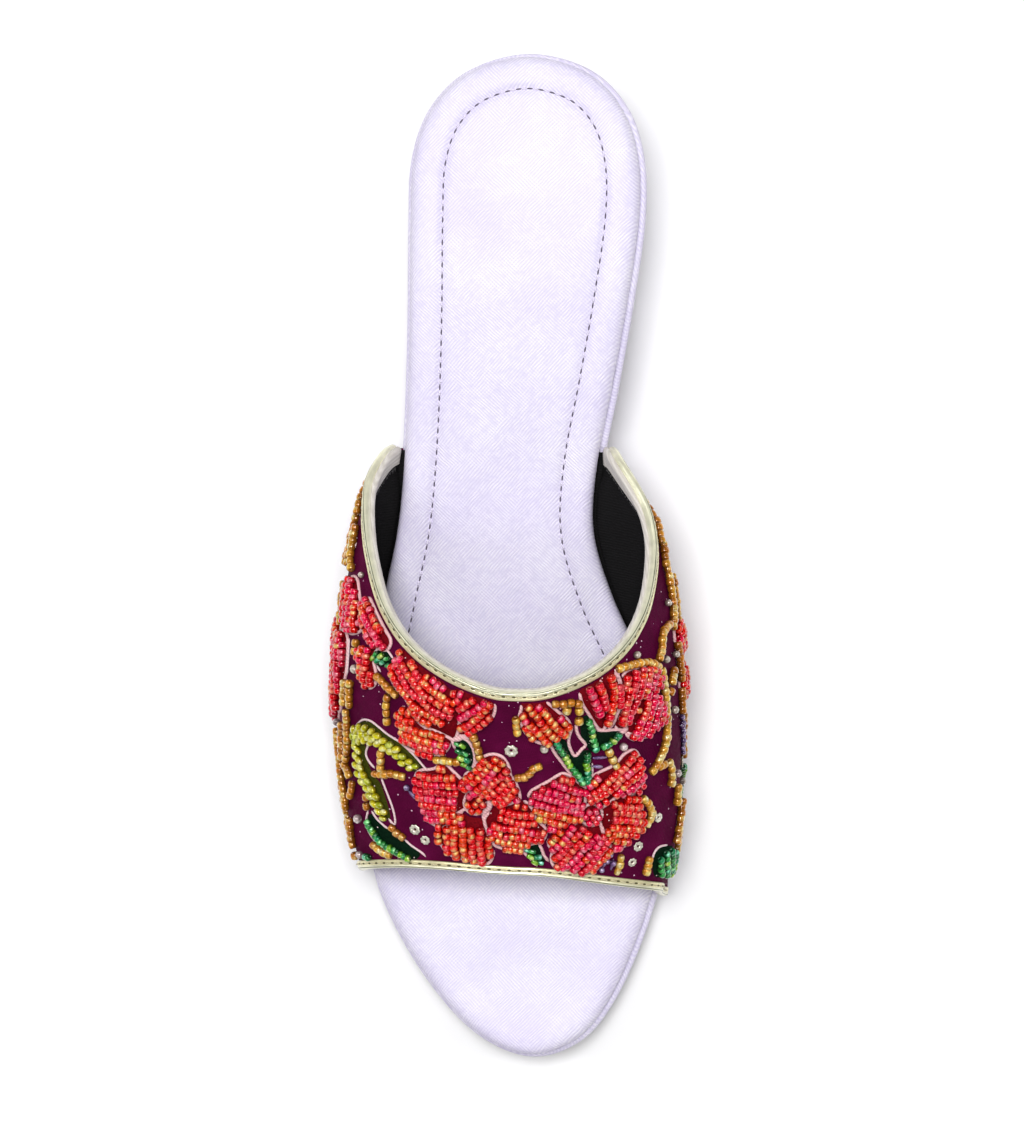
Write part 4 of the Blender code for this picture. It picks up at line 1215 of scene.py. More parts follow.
# Each petal: the turn of its bead strings in degrees from the girth towards the throat, its cast from
# crimson (0) to orange (1), how far the strings bow per mm squared, its outline, and the part of it near the
# flower's heart that has no beads
PETALS = (
    # upper left flower
    (-38, 0.35, 0.020, (
        (-15.8, -42.0), (-14.9, -40.0), (-14.6, -37.0), (-14.6, -35.0), (-15.0, -33.0), (-16.0, -31.0),
        (-17.4, -29.6), (-19.0, -28.0), (-21.5, -26.0), (-24.5, -23.6), (-27.5, -21.4), (-30.0, -20.8),
        (-31.4, -22.8), (-33.0, -25.0), (-32.9, -27.4), (-31.8, -29.4), (-29.8, -31.2), (-28.4, -32.4),
        (-27.1, -34.3), (-25.9, -36.6), (-23.4, -38.9), (-20.5, -39.9), (-17.6, -41.2),
    ), ((-21.5, -37.6), (-16.6, -37.4), (-15.7, -33.0), (-14.0, -33.0), (-14.0, -43.0), (-20.0, -41.0))),
    (-14, 0.60, 0, (
        (-16.6, -42.2), (-18.2, -41.0), (-20.8, -40.0), (-23.5, -39.1), (-25.9, -37.0), (-27.4, -34.6),
        (-29.4, -34.9), (-30.5, -36.4), (-30.2, -38.4), (-29.4, -40.6), (-29.0, -42.6), (-27.8, -44.3),
        (-25.5, -45.2), (-22.5, -46.1), (-20.0, -46.0), (-18.0, -44.9), (-17.0, -43.4),
    ), ()),
    (36, 0.45, 0.016, (
        (-14.4, -41.0), (-14.2, -38.0), (-14.3, -35.0), (-15.0, -32.8), (-16.2, -30.8), (-15.0, -29.8),
        (-12.5, -30.4), (-10.0, -31.4), (-7.5, -32.4), (-6.2, -33.4), (-6.1, -35.2), (-6.9, -36.9),
        (-8.3, -38.2), (-9.8, -39.3), (-11.4, -40.2), (-13.0, -40.9),
    ), ((-16.5, -33.0), (-14.2, -32.2), (-12.0, -31.6), (-11.0, -29.0), (-17.0, -29.0))),
    # lower left flower
    (-3, 0.30, 0, (
        (-13.3, -59.8), (-15.4, -61.3), (-16.9, -63.3), (-18.6, -64.1), (-20.2, -63.2), (-21.9, -62.2),
        (-22.7, -60.3), (-23.7, -58.0), (-24.8, -55.5), (-25.4, -53.0), (-25.0, -51.0), (-23.6, -50.1),
        (-21.8, -50.0), (-20.2, -49.6), (-19.0, -48.6), (-17.5, -48.7), (-16.2, -50.0), (-14.5, -51.6),
        (-13.5, -52.6), (-12.6, -54.4), (-12.2, -56.4), (-13.0, -58.0),
    ), ((-14.6, -54.0), (-11.6, -53.0), (-11.6, -60.0), (-15.4, -61.4), (-14.9, -58.0))),
    (48, 0.55, 0, (
        (-12.4, -54.6), (-13.6, -52.3), (-12.6, -51.0), (-11.0, -49.8), (-9.8, -48.2), (-8.4, -46.7),
        (-6.8, -46.0), (-5.0, -46.1), (-3.5, -47.0), (-2.4, -49.0), (-2.0, -51.0), (-1.1, -52.1),
        (-0.3, -53.7), (0.3, -55.4), (0.3, -56.8), (-1.5, -57.6), (-3.5, -58.2), (-5.3, -57.9),
        (-7.2, -57.2), (-8.0, -55.8), (-10.2, -55.8), (-11.6, -56.0),
    ), ((-9.0, -55.0), (-5.6, -55.6), (-4.4, -58.4), (-8.8, -58.4))),
    (-10, 0.55, 0, (
        (-6.4, -60.3), (-7.4, -61.8), (-7.3, -63.4), (-6.4, -65.0), (-5.8, -67.0), (-4.6, -68.4),
        (-2.3, -69.2), (0.6, -69.9), (2.0, -69.3), (2.9, -68.2), (4.8, -67.7), (6.4, -67.0), (7.0, -65.5),
        (6.7, -64.0), (5.3, -62.7), (4.3, -61.6), (3.9, -60.2), (3.1, -58.9), (2.0, -57.8), (0.6, -57.4),
        (-1.5, -58.0), (-3.5, -58.7), (-5.3, -58.6),
    ), ((-8.0, -60.0), (-3.6, -59.6), (-4.0, -61.6), (-5.8, -63.2), (-8.0, -63.4))),
    (-84, 0.60, 0, (
        (-9.0, -61.9), (-11.4, -61.6), (-13.4, -60.6), (-15.6, -61.9), (-17.0, -63.8), (-18.9, -64.8),
        (-19.4, -66.2), (-18.9, -67.6), (-17.9, -68.6), (-17.2, -69.7), (-15.8, -70.7), (-14.4, -71.5),
        (-12.2, -71.8), (-10.3, -72.4), (-8.5, -72.8), (-6.7, -72.9), (-5.8, -71.5), (-5.5, -69.5),
        (-5.8, -67.4), (-6.6, -65.2), (-7.6, -63.6), (-8.0, -62.2),
    ), ((-13.6, -60.0), (-7.6, -60.6), (-7.4, -64.2), (-9.4, -64.6), (-12.6, -63.0))),
    # lower right flower
    (-15, 0.40, 0, (
        (16.5, -54.4), (15.0, -53.4), (13.6, -52.0), (12.2, -51.2), (10.9, -50.7), (9.6, -51.2),
        (7.7, -52.5), (5.0, -54.0), (3.6, -54.9), (3.0, -56.2), (3.3, -57.8), (4.2, -59.4), (6.2, -60.6),
        (6.7, -62.4), (7.8, -64.0), (9.0, -64.3), (10.6, -63.5), (12.6, -63.0), (15.2, -62.5),
        (15.7, -60.4), (16.0, -58.4), (16.7, -56.4),
    ), ((13.6, -54.8), (17.0, -55.6), (16.6, -59.0), (15.4, -57.6))),
    (38, 0.35, 0, (
        (16.6, -54.2), (17.6, -51.9), (19.9, -50.5), (22.9, -49.3), (24.5, -48.2), (26.2, -46.4),
        (28.2, -45.4), (29.8, -45.7), (30.8, -47.3), (31.5, -50.0), (31.8, -52.6), (31.2, -54.2),
        (29.8, -55.4), (27.4, -55.9), (25.4, -55.9), (24.0, -56.6), (22.6, -57.8), (21.2, -58.7),
        (19.5, -58.4), (18.0, -57.8), (17.2, -57.0), (16.8, -55.6),
    ), ((21.8, -55.4), (25.0, -55.2), (23.6, -59.0), (20.6, -59.0))),
    (-8, 0.50, 0, (
        (21.4, -59.2), (22.8, -58.0), (24.2, -56.8), (27.6, -56.4), (30.2, -56.6), (30.9, -58.8),
        (31.7, -60.9), (31.9, -63.0), (31.2, -65.1), (29.9, -66.2), (28.2, -66.8), (27.5, -68.3),
        (25.8, -69.2), (24.3, -69.4), (23.2, -68.0), (22.3, -66.4), (21.5, -64.6), (21.0, -62.6),
        (21.2, -60.6),
    ), ((20.6, -60.0), (23.2, -57.6), (23.8, -60.0), (23.0, -64.0), (21.6, -65.0))),
    (50, 0.40, 0, (
        (16.8, -63.8), (15.2, -62.9), (12.6, -63.3), (10.8, -64.0), (9.2, -65.2), (8.2, -66.6),
        (8.4, -68.4), (9.2, -69.8), (9.1, -71.4), (9.2, -72.7), (10.0, -73.8), (12.0, -74.3), (14.6, -74.9),
        (16.4, -75.6), (18.6, -75.0), (20.0, -73.8), (21.4, -72.4), (22.8, -70.9), (23.5, -69.4),
        (22.9, -68.0), (21.9, -66.2), (21.0, -64.3), (19.8, -63.4), (18.4, -63.8),
    ), ((15.8, -63.4), (21.0, -63.0), (21.4, -66.0), (18.4, -65.8))),
    # bud under the throat
    (-48, 0.92, 0, (
        (0.3, -32.4), (0.8, -34.4), (0.4, -36.4), (0.9, -38.2), (1.9, -40.2), (3.5, -41.7), (5.2, -42.6),
        (7.0, -42.9), (8.6, -42.0), (10.0, -41.1), (11.4, -40.5), (12.1, -39.2), (11.6, -37.6),
        (10.5, -36.5), (9.3, -35.6), (8.1, -34.6), (6.6, -33.3), (5.2, -32.3), (2.8, -32.0),
    ), ()),
    # upper right flower
    (119, STRUNG, 0, (
        (14.8, -30.0), (15.0, -31.6), (15.7, -33.6), (17.0, -35.6), (18.4, -38.0), (19.6, -39.4),
        (20.8, -39.4), (21.4, -36.6), (21.6, -33.6), (20.9, -30.6), (19.6, -27.6), (17.6, -28.4),
    ), ((19.4, -36.6), (22.0, -36.6), (21.6, -40.0), (19.0, -40.0))),
    (94, STRUNG, 0, (
        (19.8, -27.6), (21.6, -26.2), (23.8, -25.2), (25.1, -27.0), (25.7, -29.0), (25.3, -33.6),
        (24.2, -36.2), (23.2, -38.2), (22.0, -39.4), (20.9, -39.4), (21.5, -36.6), (21.8, -33.6),
        (21.2, -30.6),
    ), ()),
    (66, 0.22, 0, (
        (26.2, -29.4), (27.0, -27.0), (28.6, -25.9), (31.0, -25.5), (33.6, -25.1), (36.1, -25.3),
        (38.6, -26.1), (39.8, -27.6), (39.4, -29.6), (37.4, -30.8), (34.8, -31.4), (32.4, -31.9),
        (31.2, -32.6), (29.9, -34.0), (28.6, -35.8), (27.5, -37.8), (26.8, -39.5), (25.2, -39.7),
        (24.2, -39.0), (24.5, -36.9), (25.4, -34.4), (26.2, -31.6),
    ), ((24.0, -38.2), (26.6, -37.6), (28.6, -38.0), (27.0, -41.0), (23.6, -40.6))),
    (62, 0.40, 0, (
        (31.5, -32.6), (33.2, -31.8), (36.0, -31.5), (38.4, -32.2), (39.7, -33.9), (40.2, -35.7),
        (40.0, -37.7), (38.2, -39.4), (35.6, -40.2), (34.2, -41.5), (31.5, -41.9), (29.8, -42.3),
        (28.5, -41.9), (27.2, -40.8), (26.9, -39.2), (27.8, -37.6), (28.9, -35.6), (30.2, -33.9),
    ), ((26.0, -41.0), (26.8, -38.0), (29.8, -34.2), (29.8, -38.4))),
    # lateral flower
    (86, 0.50, 0, (
        (-54.4, -4.2), (-51.6, -3.6), (-49.2, -4.6), (-48.2, -7.0), (-47.4, -9.0), (-46.0, -10.0),
        (-45.0, -12.4), (-44.5, -14.8), (-46.0, -16.2), (-48.6, -16.8), (-51.6, -16.8), (-54.0, -15.4),
        (-55.2, -12.6), (-55.2, -9.2), (-55.2, -6.2),
    ), ()),
    (-47, 0.45, 0, (
        (-44.9, -10.0), (-43.0, -8.8), (-41.4, -10.2), (-39.6, -12.4), (-38.0, -14.2), (-36.0, -16.3),
        (-34.4, -18.0), (-34.2, -19.4), (-35.2, -20.6), (-37.0, -20.6), (-38.8, -20.0), (-40.5, -19.5),
        (-42.2, -18.8), (-43.8, -17.0), (-44.2, -14.8), (-44.6, -12.4),
    ), ((-44.4, -13.8), (-41.6, -15.6), (-40.4, -19.6), (-43.0, -19.6), (-45.0, -16.0))),
    (88, 0.40, 0, (
        (-44.6, -20.8), (-42.3, -20.2), (-40.0, -20.8), (-39.2, -22.2), (-39.8, -24.0), (-38.9, -26.0),
        (-38.5, -27.8), (-39.2, -29.3), (-40.6, -29.9), (-42.2, -29.4), (-43.4, -28.4), (-43.9, -26.0),
        (-44.6, -24.0), (-45.6, -22.4),
    ), ()),
    (90, 0.35, 0, (
        (-59.4, -17.4), (-56.6, -16.9), (-54.0, -17.8), (-53.0, -20.0), (-52.8, -23.0), (-53.2, -26.6),
        (-54.4, -29.2), (-55.4, -32.2), (-56.6, -35.6), (-59.0, -36.4), (-61.2, -34.0), (-62.2, -29.0),
        (-62.4, -23.0), (-61.4, -19.0),
    ), ()),
)
# Petals of the flowers low on the sides: base, tip and width
LOW_PETALS = (
    ((-66.4, -27.4), (-75.6, -33.0), 8.4),
    ((-67.4, -25.0), (-76.6, -22.0), 8.4),
    ((-66.2, -22.6), (-70.4, -13.2), 8.6),
    ((-64.6, -29.4), (-66.6, -39.4), 8.6),
    ((62.6, -22.0), (54.6, -15.2), 8.0),
    ((64.0, -20.6), (66.0, -11.0), 8.6),
    ((66.2, -22.4), (75.0, -19.4), 8.4),
    ((65.4, -24.8), (70.8, -33.4), 8.6),
    ((62.8, -24.8), (57.8, -33.2), 8.2),
)
RED_STRINGS = (  # fat separate strings: cast and path
    (0.25, ((16.5, -29.8), (17.8, -32.4), (19.0, -35.2))),
    (0.25, ((18.5, -27.6), (19.8, -30.6), (20.8, -33.8))),
    (0.90, ((22.0, -25.6), (22.8, -29.4), (22.5, -33.4), (21.2, -37.6))),
    (0.10, ((24.5, -29.2), (24.4, -33.4))),
    (0.45, ((27.2, -30.2), (26.3, -33.4), (25.2, -36.8))),
)
FLOWER_HEARTS = table(
    "s y radius",
    ((-9.9, -57.7, 2.7), (18.2, -60.9, 2.4), (-64.8, -25.4, 2.0), (64.2, -22.8, 1.9)),
)

STEMS = (  # ropes of green beads
    ((8.9, -42.3), (10.2, -44.4), (12.2, -47.8), (14.3, -50.5), (15.6, -52.2)),
    ((16.6, -37.5), (17.2, -39.2), (17.7, -41.0), (18.4, -44.0)),
    ((24.4, -41.0), (23.3, -41.9), (22.2, -42.8), (20.4, -43.6)),
    ((16.5, -45.6), (16.2, -47.8), (16.7, -49.6), (16.6, -52.0)),
    ((-38.6, -63.4), (-37.4, -65.1), (-34.6, -67.9), (-30.8, -69.9), (-26.6, -72.0)),
    ((-39.2, -72.3), (-36.4, -73.0)),
    ((37.0, -72.8), (37.6, -76.4)),
    ((39.2, -71.4), (39.8, -76.8)),
    ((41.4, -71.0), (42.0, -76.8)),
    ((43.6, -71.6), (44.2, -76.4)),
    ((61.0, -51.0), (64.0, -55.0), (64.6, -60.0)),
    ((60.6, 2.0), (64.0, -1.6), (66.0, -6.6)),
    ((-62.0, -44.0), (-64.4, -49.0), (-64.6, -55.0)),
    ((-64.0, 4.0), (-68.0, -0.6), (-70.0, -6.0)),
)
LEAVES = (  # small green leaves, along the middle
    ((-14.3, -42.8), (-13.4, -45.2), (-12.3, -48.8)),
    ((3.4, -69.2), (4.6, -71.0), (5.7, -73.0)),
    ((-39.2, -22.4), (-36.6, -22.8), (-33.8, -23.9)),
)
GREEN_GROUNDS = (  # dark green cloth under stems and leaves
    ((7.8, -42.6), (9.6, -41.6), (11.2, -42.4), (12.4, -44.6), (14.0, -46.6), (15.4, -45.0), (17.6, -45.2),
     (17.8, -49.0), (17.8, -51.4), (16.6, -53.8), (15.0, -52.9), (12.4, -50.4), (10.4, -47.4),
     (8.8, -45.0)),
    ((15.2, -37.0), (17.6, -36.6), (18.6, -38.6), (19.4, -40.0), (25.2, -40.2), (25.0, -41.8),
     (22.8, -44.0), (18.0, -45.4), (16.2, -43.2), (15.0, -41.0)),
    ((-15.2, -42.6), (-13.6, -42.2), (-12.2, -43.2), (-11.1, -45.0), (-10.8, -47.4), (-11.4, -49.4),
     (-12.9, -49.2), (-14.0, -47.2), (-15.0, -45.0)),
    ((-39.4, -62.0), (-37.4, -61.8), (-35.4, -63.4), (-32.5, -65.4), (-28.6, -67.6), (-25.6, -69.6),
     (-23.8, -71.4), (-26.0, -73.0), (-30.0, -71.8), (-34.6, -69.6), (-37.6, -67.4), (-39.4, -65.2)),
    ((1.9, -69.6), (3.0, -68.4), (5.6, -68.1), (6.5, -69.5), (7.3, -72.6), (5.6, -73.4), (4.2, -72.0),
     (3.0, -71.0)),
    ((-39.7, -23.2), (-38.4, -21.2), (-36.5, -20.9), (-34.6, -21.8), (-33.2, -23.2), (-33.6, -24.6),
     (-36.0, -25.0), (-38.6, -24.6)),
    ((35.2, -73.0), (36.0, -71.0), (37.8, -69.9), (41.0, -69.8), (44.4, -70.4), (45.6, -73.6),
     (45.4, -77.4), (40.0, -77.6), (36.2, -77.2)),
)
LIME_GROUNDS = (  # olive cloth under the lime leaf
    ((-46.0, -40.2), (-44.0, -39.0), (-41.8, -38.4), (-39.4, -38.8), (-36.6, -40.2), (-33.5, -41.9),
     (-30.4, -43.4), (-28.0, -45.0), (-25.6, -47.0), (-24.2, -49.2), (-25.4, -50.3), (-27.6, -50.2),
     (-30.2, -48.4), (-33.0, -46.6), (-36.4, -44.8), (-39.6, -43.6), (-43.0, -43.8), (-46.0, -43.4),
     (-47.0, -41.8)),
    ((-45.2, -43.2), (-42.6, -43.6), (-41.0, -46.0), (-40.4, -48.6), (-38.4, -51.6), (-35.8, -53.8),
     (-34.2, -57.0), (-32.8, -60.4), (-32.4, -62.8), (-34.6, -62.2), (-37.4, -59.2), (-39.6, -56.0),
     (-42.2, -53.0), (-44.2, -49.0)),
)
LIME_ROPES = (
    ((-46.2, -41.6), (-43.6, -40.4), (-40.4, -40.6), (-37.2, -42.0), (-34.4, -43.5), (-31.2, -45.0),
     (-28.4, -47.4), (-25.6, -49.2)),
    ((-45.0, -43.0), (-41.8, -42.2), (-38.6, -42.9)),
    ((-43.9, -44.6), (-43.5, -47.0), (-42.8, -49.6), (-41.0, -52.2), (-38.8, -54.4), (-36.8, -57.2),
     (-35.2, -59.6), (-33.4, -61.8)),
)
PALE_LINES = (  # thin pale cords beside leaves and stems
    ((-46.6, -40.6), (-44.2, -38.7), (-42.0, -38.0), (-39.4, -38.4), (-36.6, -39.8), (-33.6, -41.5),
     (-30.4, -43.0), (-28.4, -44.4), (-25.8, -46.5), (-23.2, -49.2), (-22.4, -50.0)),
    ((-40.0, -43.8), (-41.0, -46.0), (-40.6, -47.4), (-39.2, -48.8), (-37.6, -50.0)),
    ((-35.4, -52.2), (-34.0, -54.9), (-32.9, -57.0), (-31.6, -59.8), (-30.8, -62.6), (-31.0, -64.0),
     (-32.8, -62.4)),
    ((-38.2, -60.8), (-36.0, -63.0), (-32.6, -65.2)),
    ((-28.0, -67.5), (-26.0, -69.1), (-23.2, -70.8), (-22.2, -71.8)),
    ((-39.4, -60.6), (-40.0, -63.4), (-39.2, -65.8), (-37.4, -67.8), (-35.8, -69.0)),
    ((18.0, -48.0), (18.0, -50.8), (16.9, -53.4)),
    ((-39.6, -22.0), (-38.4, -20.8), (-36.4, -20.4), (-34.4, -21.4), (-32.8, -23.0)),
    ((-38.4, -24.6), (-36.9, -26.2)),
    ((34.9, -73.4), (35.8, -71.0), (37.6, -69.7), (40.6, -69.5)),
    ((-52.2, -18.4), (-52.0, -22.0), (-52.2, -27.4)),
    ((-51.6, 9.0), (-52.0, 4.0)),
)
PINK_CORDS = (  # thicker cords that run on from the petals' own
    ((-12.2, -53.4), (-11.8, -54.4), (-11.5, -55.2)),
    ((-12.1, -59.2), (-14.2, -60.3), (-16.1, -61.4), (-17.0, -63.0)),
    ((-7.0, -57.0), (-6.2, -58.6), (-8.0, -60.6), (-7.7, -62.7), (-6.8, -65.6), (-6.0, -68.4)),
    ((15.8, -54.4), (16.5, -56.6), (16.4, -58.6)),
    ((20.0, -59.4), (21.2, -58.9), (22.6, -57.9)),
    ((20.4, -62.6), (21.0, -64.8), (21.6, -67.0)),
    ((7.4, -42.8), (8.6, -45.2), (10.4, -47.6), (11.8, -49.4), (13.4, -51.2)),
    ((11.8, -37.8), (12.6, -39.2), (12.1, -41.2), (12.0, -43.0), (12.7, -44.9), (13.7, -46.2),
     (15.2, -44.5), (16.2, -43.4), (14.7, -41.6), (13.9, -40.0), (13.7, -38.0)),
    ((18.8, -39.4), (20.0, -40.0), (25.0, -39.9), (27.0, -40.6)),
    ((-14.4, -41.4), (-12.3, -42.4), (-11.0, -44.2), (-10.5, -46.4), (-10.6, -48.2), (-11.6, -50.0),
     (-13.4, -51.8)),
    ((-16.3, -42.0), (-15.9, -43.2), (-15.3, -44.6)),
    ((1.6, -69.7), (3.0, -71.2), (4.6, -72.6), (5.4, -73.8)),
    ((5.6, -68.0), (6.4, -69.4), (7.0, -71.0), (8.2, -72.6)),
    ((23.4, -24.0), (24.1, -25.8), (24.8, -27.6), (25.3, -26.4), (25.8, -25.2)),
    ((24.8, -27.6), (25.6, -29.6), (25.3, -33.0), (23.6, -36.4), (22.4, -38.2)),
)
CORD_JOINS = (  # where several pink cords are sewn down together: place and turn
    ((-14.8, -42.0), 10),
    ((-13.2, -41.6), -20),
    ((26.4, -40.2), 30),
    ((28.4, -41.2), -30),
    ((-11.9, -55.0), 70),
    ((-6.8, -58.9), 80),
)
GOLD_STRINGS = (
    ((-38.6, -26.4), (-36.0, -28.0), (-33.2, -30.1), (-31.4, -31.2)),
    ((-33.8, -32.2), (-34.1, -34.2), (-33.7, -37.8)),
    ((-52.0, -29.4), (-52.0, -34.0)),
    ((-48.6, -29.4), (-48.4, -34.4)),
    ((-46.9, -17.4), (-46.8, -21.4)),
    ((-50.0, -36.6), (-49.3, -38.8), (-48.6, -41.8), (-48.4, -44.4), (-48.7, -47.0), (-49.6, -49.6)),
    ((-48.2, -50.8), (-45.9, -53.2), (-45.3, -55.2), (-46.2, -57.0)),
    ((-59.0, -41.6), (-57.5, -44.2), (-55.4, -46.7), (-53.8, -49.3), (-53.4, -52.6), (-50.6, -57.0),
     (-49.6, -60.4)),
    ((-52.6, -40.0), (-52.4, -44.0), (-51.8, -47.6)),
    ((-36.8, -51.0), (-34.0, -51.0), (-31.4, -50.9), (-28.8, -51.3)),
    ((-35.2, -46.0), (-35.2, -49.4)),
    ((-39.4, -57.0), (-39.2, -59.4)),
    ((-31.2, -64.6), (-29.6, -65.9), (-28.4, -66.6)),
    ((-36.4, -69.2), (-34.2, -70.6), (-32.0, -71.3)),
    ((-47.0, -64.0), (-46.6, -66.4), (-46.4, -69.0), (-45.0, -71.0), (-44.6, -72.6)),
    ((-19.6, -47.0), (-17.2, -47.2), (-14.8, -47.3)),
    ((-10.6, -41.2), (-9.8, -43.2), (-9.2, -46.0)),
    ((-0.6, -37.0), (-0.3, -39.8)),
    ((6.8, -32.9), (9.4, -33.1), (11.8, -33.0), (14.0, -33.2)),
    ((11.3, -34.6), (11.2, -37.0)),
    ((14.2, -34.8), (14.2, -37.2)),
    ((0.2, -51.0), (2.2, -50.8), (3.6, -49.0), (4.8, -48.2)),
    ((4.6, -61.0), (5.6, -61.4)),
    ((25.4, -24.9), (28.6, -24.3), (32.4, -23.9), (36.0, -24.0), (38.8, -24.8)),
    ((40.6, -26.2), (41.0, -29.4), (41.4, -33.0), (41.4, -36.6), (41.1, -39.6), (40.2, -42.8),
     (38.6, -45.6), (36.6, -48.2), (34.6, -50.2)),
    ((37.2, -49.4), (38.8, -49.0)),
    ((47.2, -15.0), (43.6, -16.4), (42.4, -18.4), (41.8, -20.6), (40.2, -22.8)),
    ((47.6, -26.4), (45.6, -29.0), (44.0, -31.2)),
    ((22.0, -45.2), (24.0, -48.6)),
    ((31.8, -57.2), (33.8, -59.4), (34.3, -61.2), (33.0, -63.5)),
    ((41.3, -48.6), (42.2, -51.2), (41.6, -53.8)),
    ((25.6, -70.0), (25.9, -72.5), (25.0, -75.0)),
    ((33.6, -72.6), (32.8, -75.4)),
    ((48.4, 16.0), (49.2, 12.0), (49.3, 8.0), (49.0, 5.4)),
    ((50.4, 4.4), (50.0, 0.0), (51.0, -4.0), (52.0, -9.6), (51.0, -13.6), (50.0, -15.4)),
    ((55.4, -3.6), (56.6, -9.0), (56.8, -14.0)),
    ((53.6, -18.6), (55.2, -25.0), (55.4, -31.0), (54.2, -36.4)),
    ((45.2, -55.2), (44.8, -58.6)),
    ((49.4, -59.0), (47.2, -63.8), (44.4, -68.6)),
    ((-51.4, 21.0), (-51.0, 18.0), (-51.1, 15.0), (-51.6, 12.6)),
    ((-55.4, 10.8), (-56.6, 8.6), (-57.6, 5.8), (-58.6, 3.0), (-60.0, 0.2)),
    ((-51.0, 8.4), (-52.4, 5.0), (-53.4, 2.4), (-52.4, -1.2)),
    ((-54.4, 7.0), (-55.4, 3.4), (-56.4, 0.0)),
    ((-58.4, -5.2), (-58.8, -9.6), (-58.8, -14.4)),
    ((60.0, -38.0), (61.6, -43.0), (60.0, -48.0)),
    ((70.6, 2.0), (72.4, -4.0), (72.6, -9.0)),
    ((72.0, -39.0), (69.4, -45.0), (68.6, -51.0)),
    ((-63.0, 12.6), (-68.6, 9.6), (-73.6, 4.6)),
    ((-74.0, -42.0), (-71.0, -48.0), (-70.4, -54.6)),
    ((-58.8, -56.0), (-58.0, -62.0), (-54.6, -67.6)),
    ((57.4, -60.6), (56.4, -66.0), (53.4, -71.6)),
)
CLEAR_ROUNDS = table(
    "s y size",
    (
        (6.2, -44.0, 1.1), (25.9, -43.8, 1.1), (45.8, -35.8, 1.0), (43.6, -23.4, 1.0), (31.5, -21.9, 0.9),
        (50.8, -22.3, 0.9), (48.0, -9.8, 0.9), (45.2, -51.6, 1.0), (-46.2, -25.6, 1.2),
        (-42.4, -62.8, 1.2), (-41.8, -72.2, 1.0), (-46.6, -3.0, 0.8), (60.4, -54.6, 1.0),
        (-62.0, -39.6, 1.0), (-62.4, -9.0, 1.0), (70.6, -14.0, 1.0), (67.6, -38.6, 1.0), (-69.0, -44.0, 1.0),
    ),
)
SEQUINS = table(
    "s y size",
    (
        (-1.7, -44.7, 1.0), (30.7, -69.2, 0.8), (-25.2, -64.9, 0.85), (-22.4, -67.5, 0.75),
        (29.2, -73.2, 0.7), (36.9, -62.3, 0.75), (58.4, -49.6, 0.9), (-57.6, -50.6, 0.9),
        (61.4, -1.6, 0.8), (-64.0, -58.6, 0.8),
    ),
)
MAUVE_ROUNDS = table(
    "s y size",
    (
        (53.6, -38.0, 0.8), (55.2, -39.6, 0.8), (52.8, -40.2, 0.8), (54.4, -41.4, 0.8), (56.0, -42.0, 0.8),
        (53.0, -42.8, 0.8), (54.6, -44.0, 0.8), (55.8, -45.0, 0.7), (53.6, -45.8, 0.7), (54.8, -47.0, 0.7),
        (-27.4, -54.2, 0.9), (23.3, -70.9, 0.8), (23.9, -73.2, 0.9), (22.6, -72.6, 0.8), (21.2, -74.6, 0.8),
    ),
)
MAUVE_BUGLES = (
    ((18.2, -46.6), (21.2, -46.3)), ((18.2, -48.6), (20.4, -48.8)), ((-27.0, -55.4), (-24.9, -57.0)),
    ((22.9, -71.6), (24.1, -70.2)), ((21.4, -74.0), (22.6, -72.2)), ((23.4, -74.6), (24.1, -72.4)),
)


def smooth_loop(corners, pitch=0.5):
    """A closed smooth outline through corners of the chart."""
    knots = np.array(corners, float)
    t = (np.arange(12) / 12)[:, None]
    fine = [curve_between(np.roll(knots, 1 - k, axis=0)[:4], t) for k in range(len(knots))]
    fine = np.vstack((*fine, knots[:1]))
    run = running_length(fine)
    at = np.linspace(0, run[-1], max(8, int(run[-1] / pitch)), endpoint=False)
    return read_along(at, run, fine)


def egg(base, tip, wide):
    """The outline of a plain petal with a narrower base."""
    base, tip = np.array(base), np.array(tip)
    line = tip - base
    side = unit(np.array((-line[1], line[0])))
    a = angles_round(18)
    t = (1 - np.cos(a)) / 2
    half = wide / 2 * np.sin(a) * (0.72 + 0.34 * t)
    return base + t[:, None] * line + half[:, None] * side


def inside_loop(loop, at):
    """True for places inside a closed outline."""
    s, y = np.asarray(at)[..., 0, None], np.asarray(at)[..., 1, None]
    s0, y0 = loop.T
    s1, y1 = np.roll(loop, -1, axis=0).T
    crosses = (y0 > y) != (y1 > y)
    where = s0 + (y - y0) / np.where(y1 == y0, 1e-9, y1 - y0) * (s1 - s0)
    return (crosses & (s < where)).sum(axis=-1) % 2 == 1


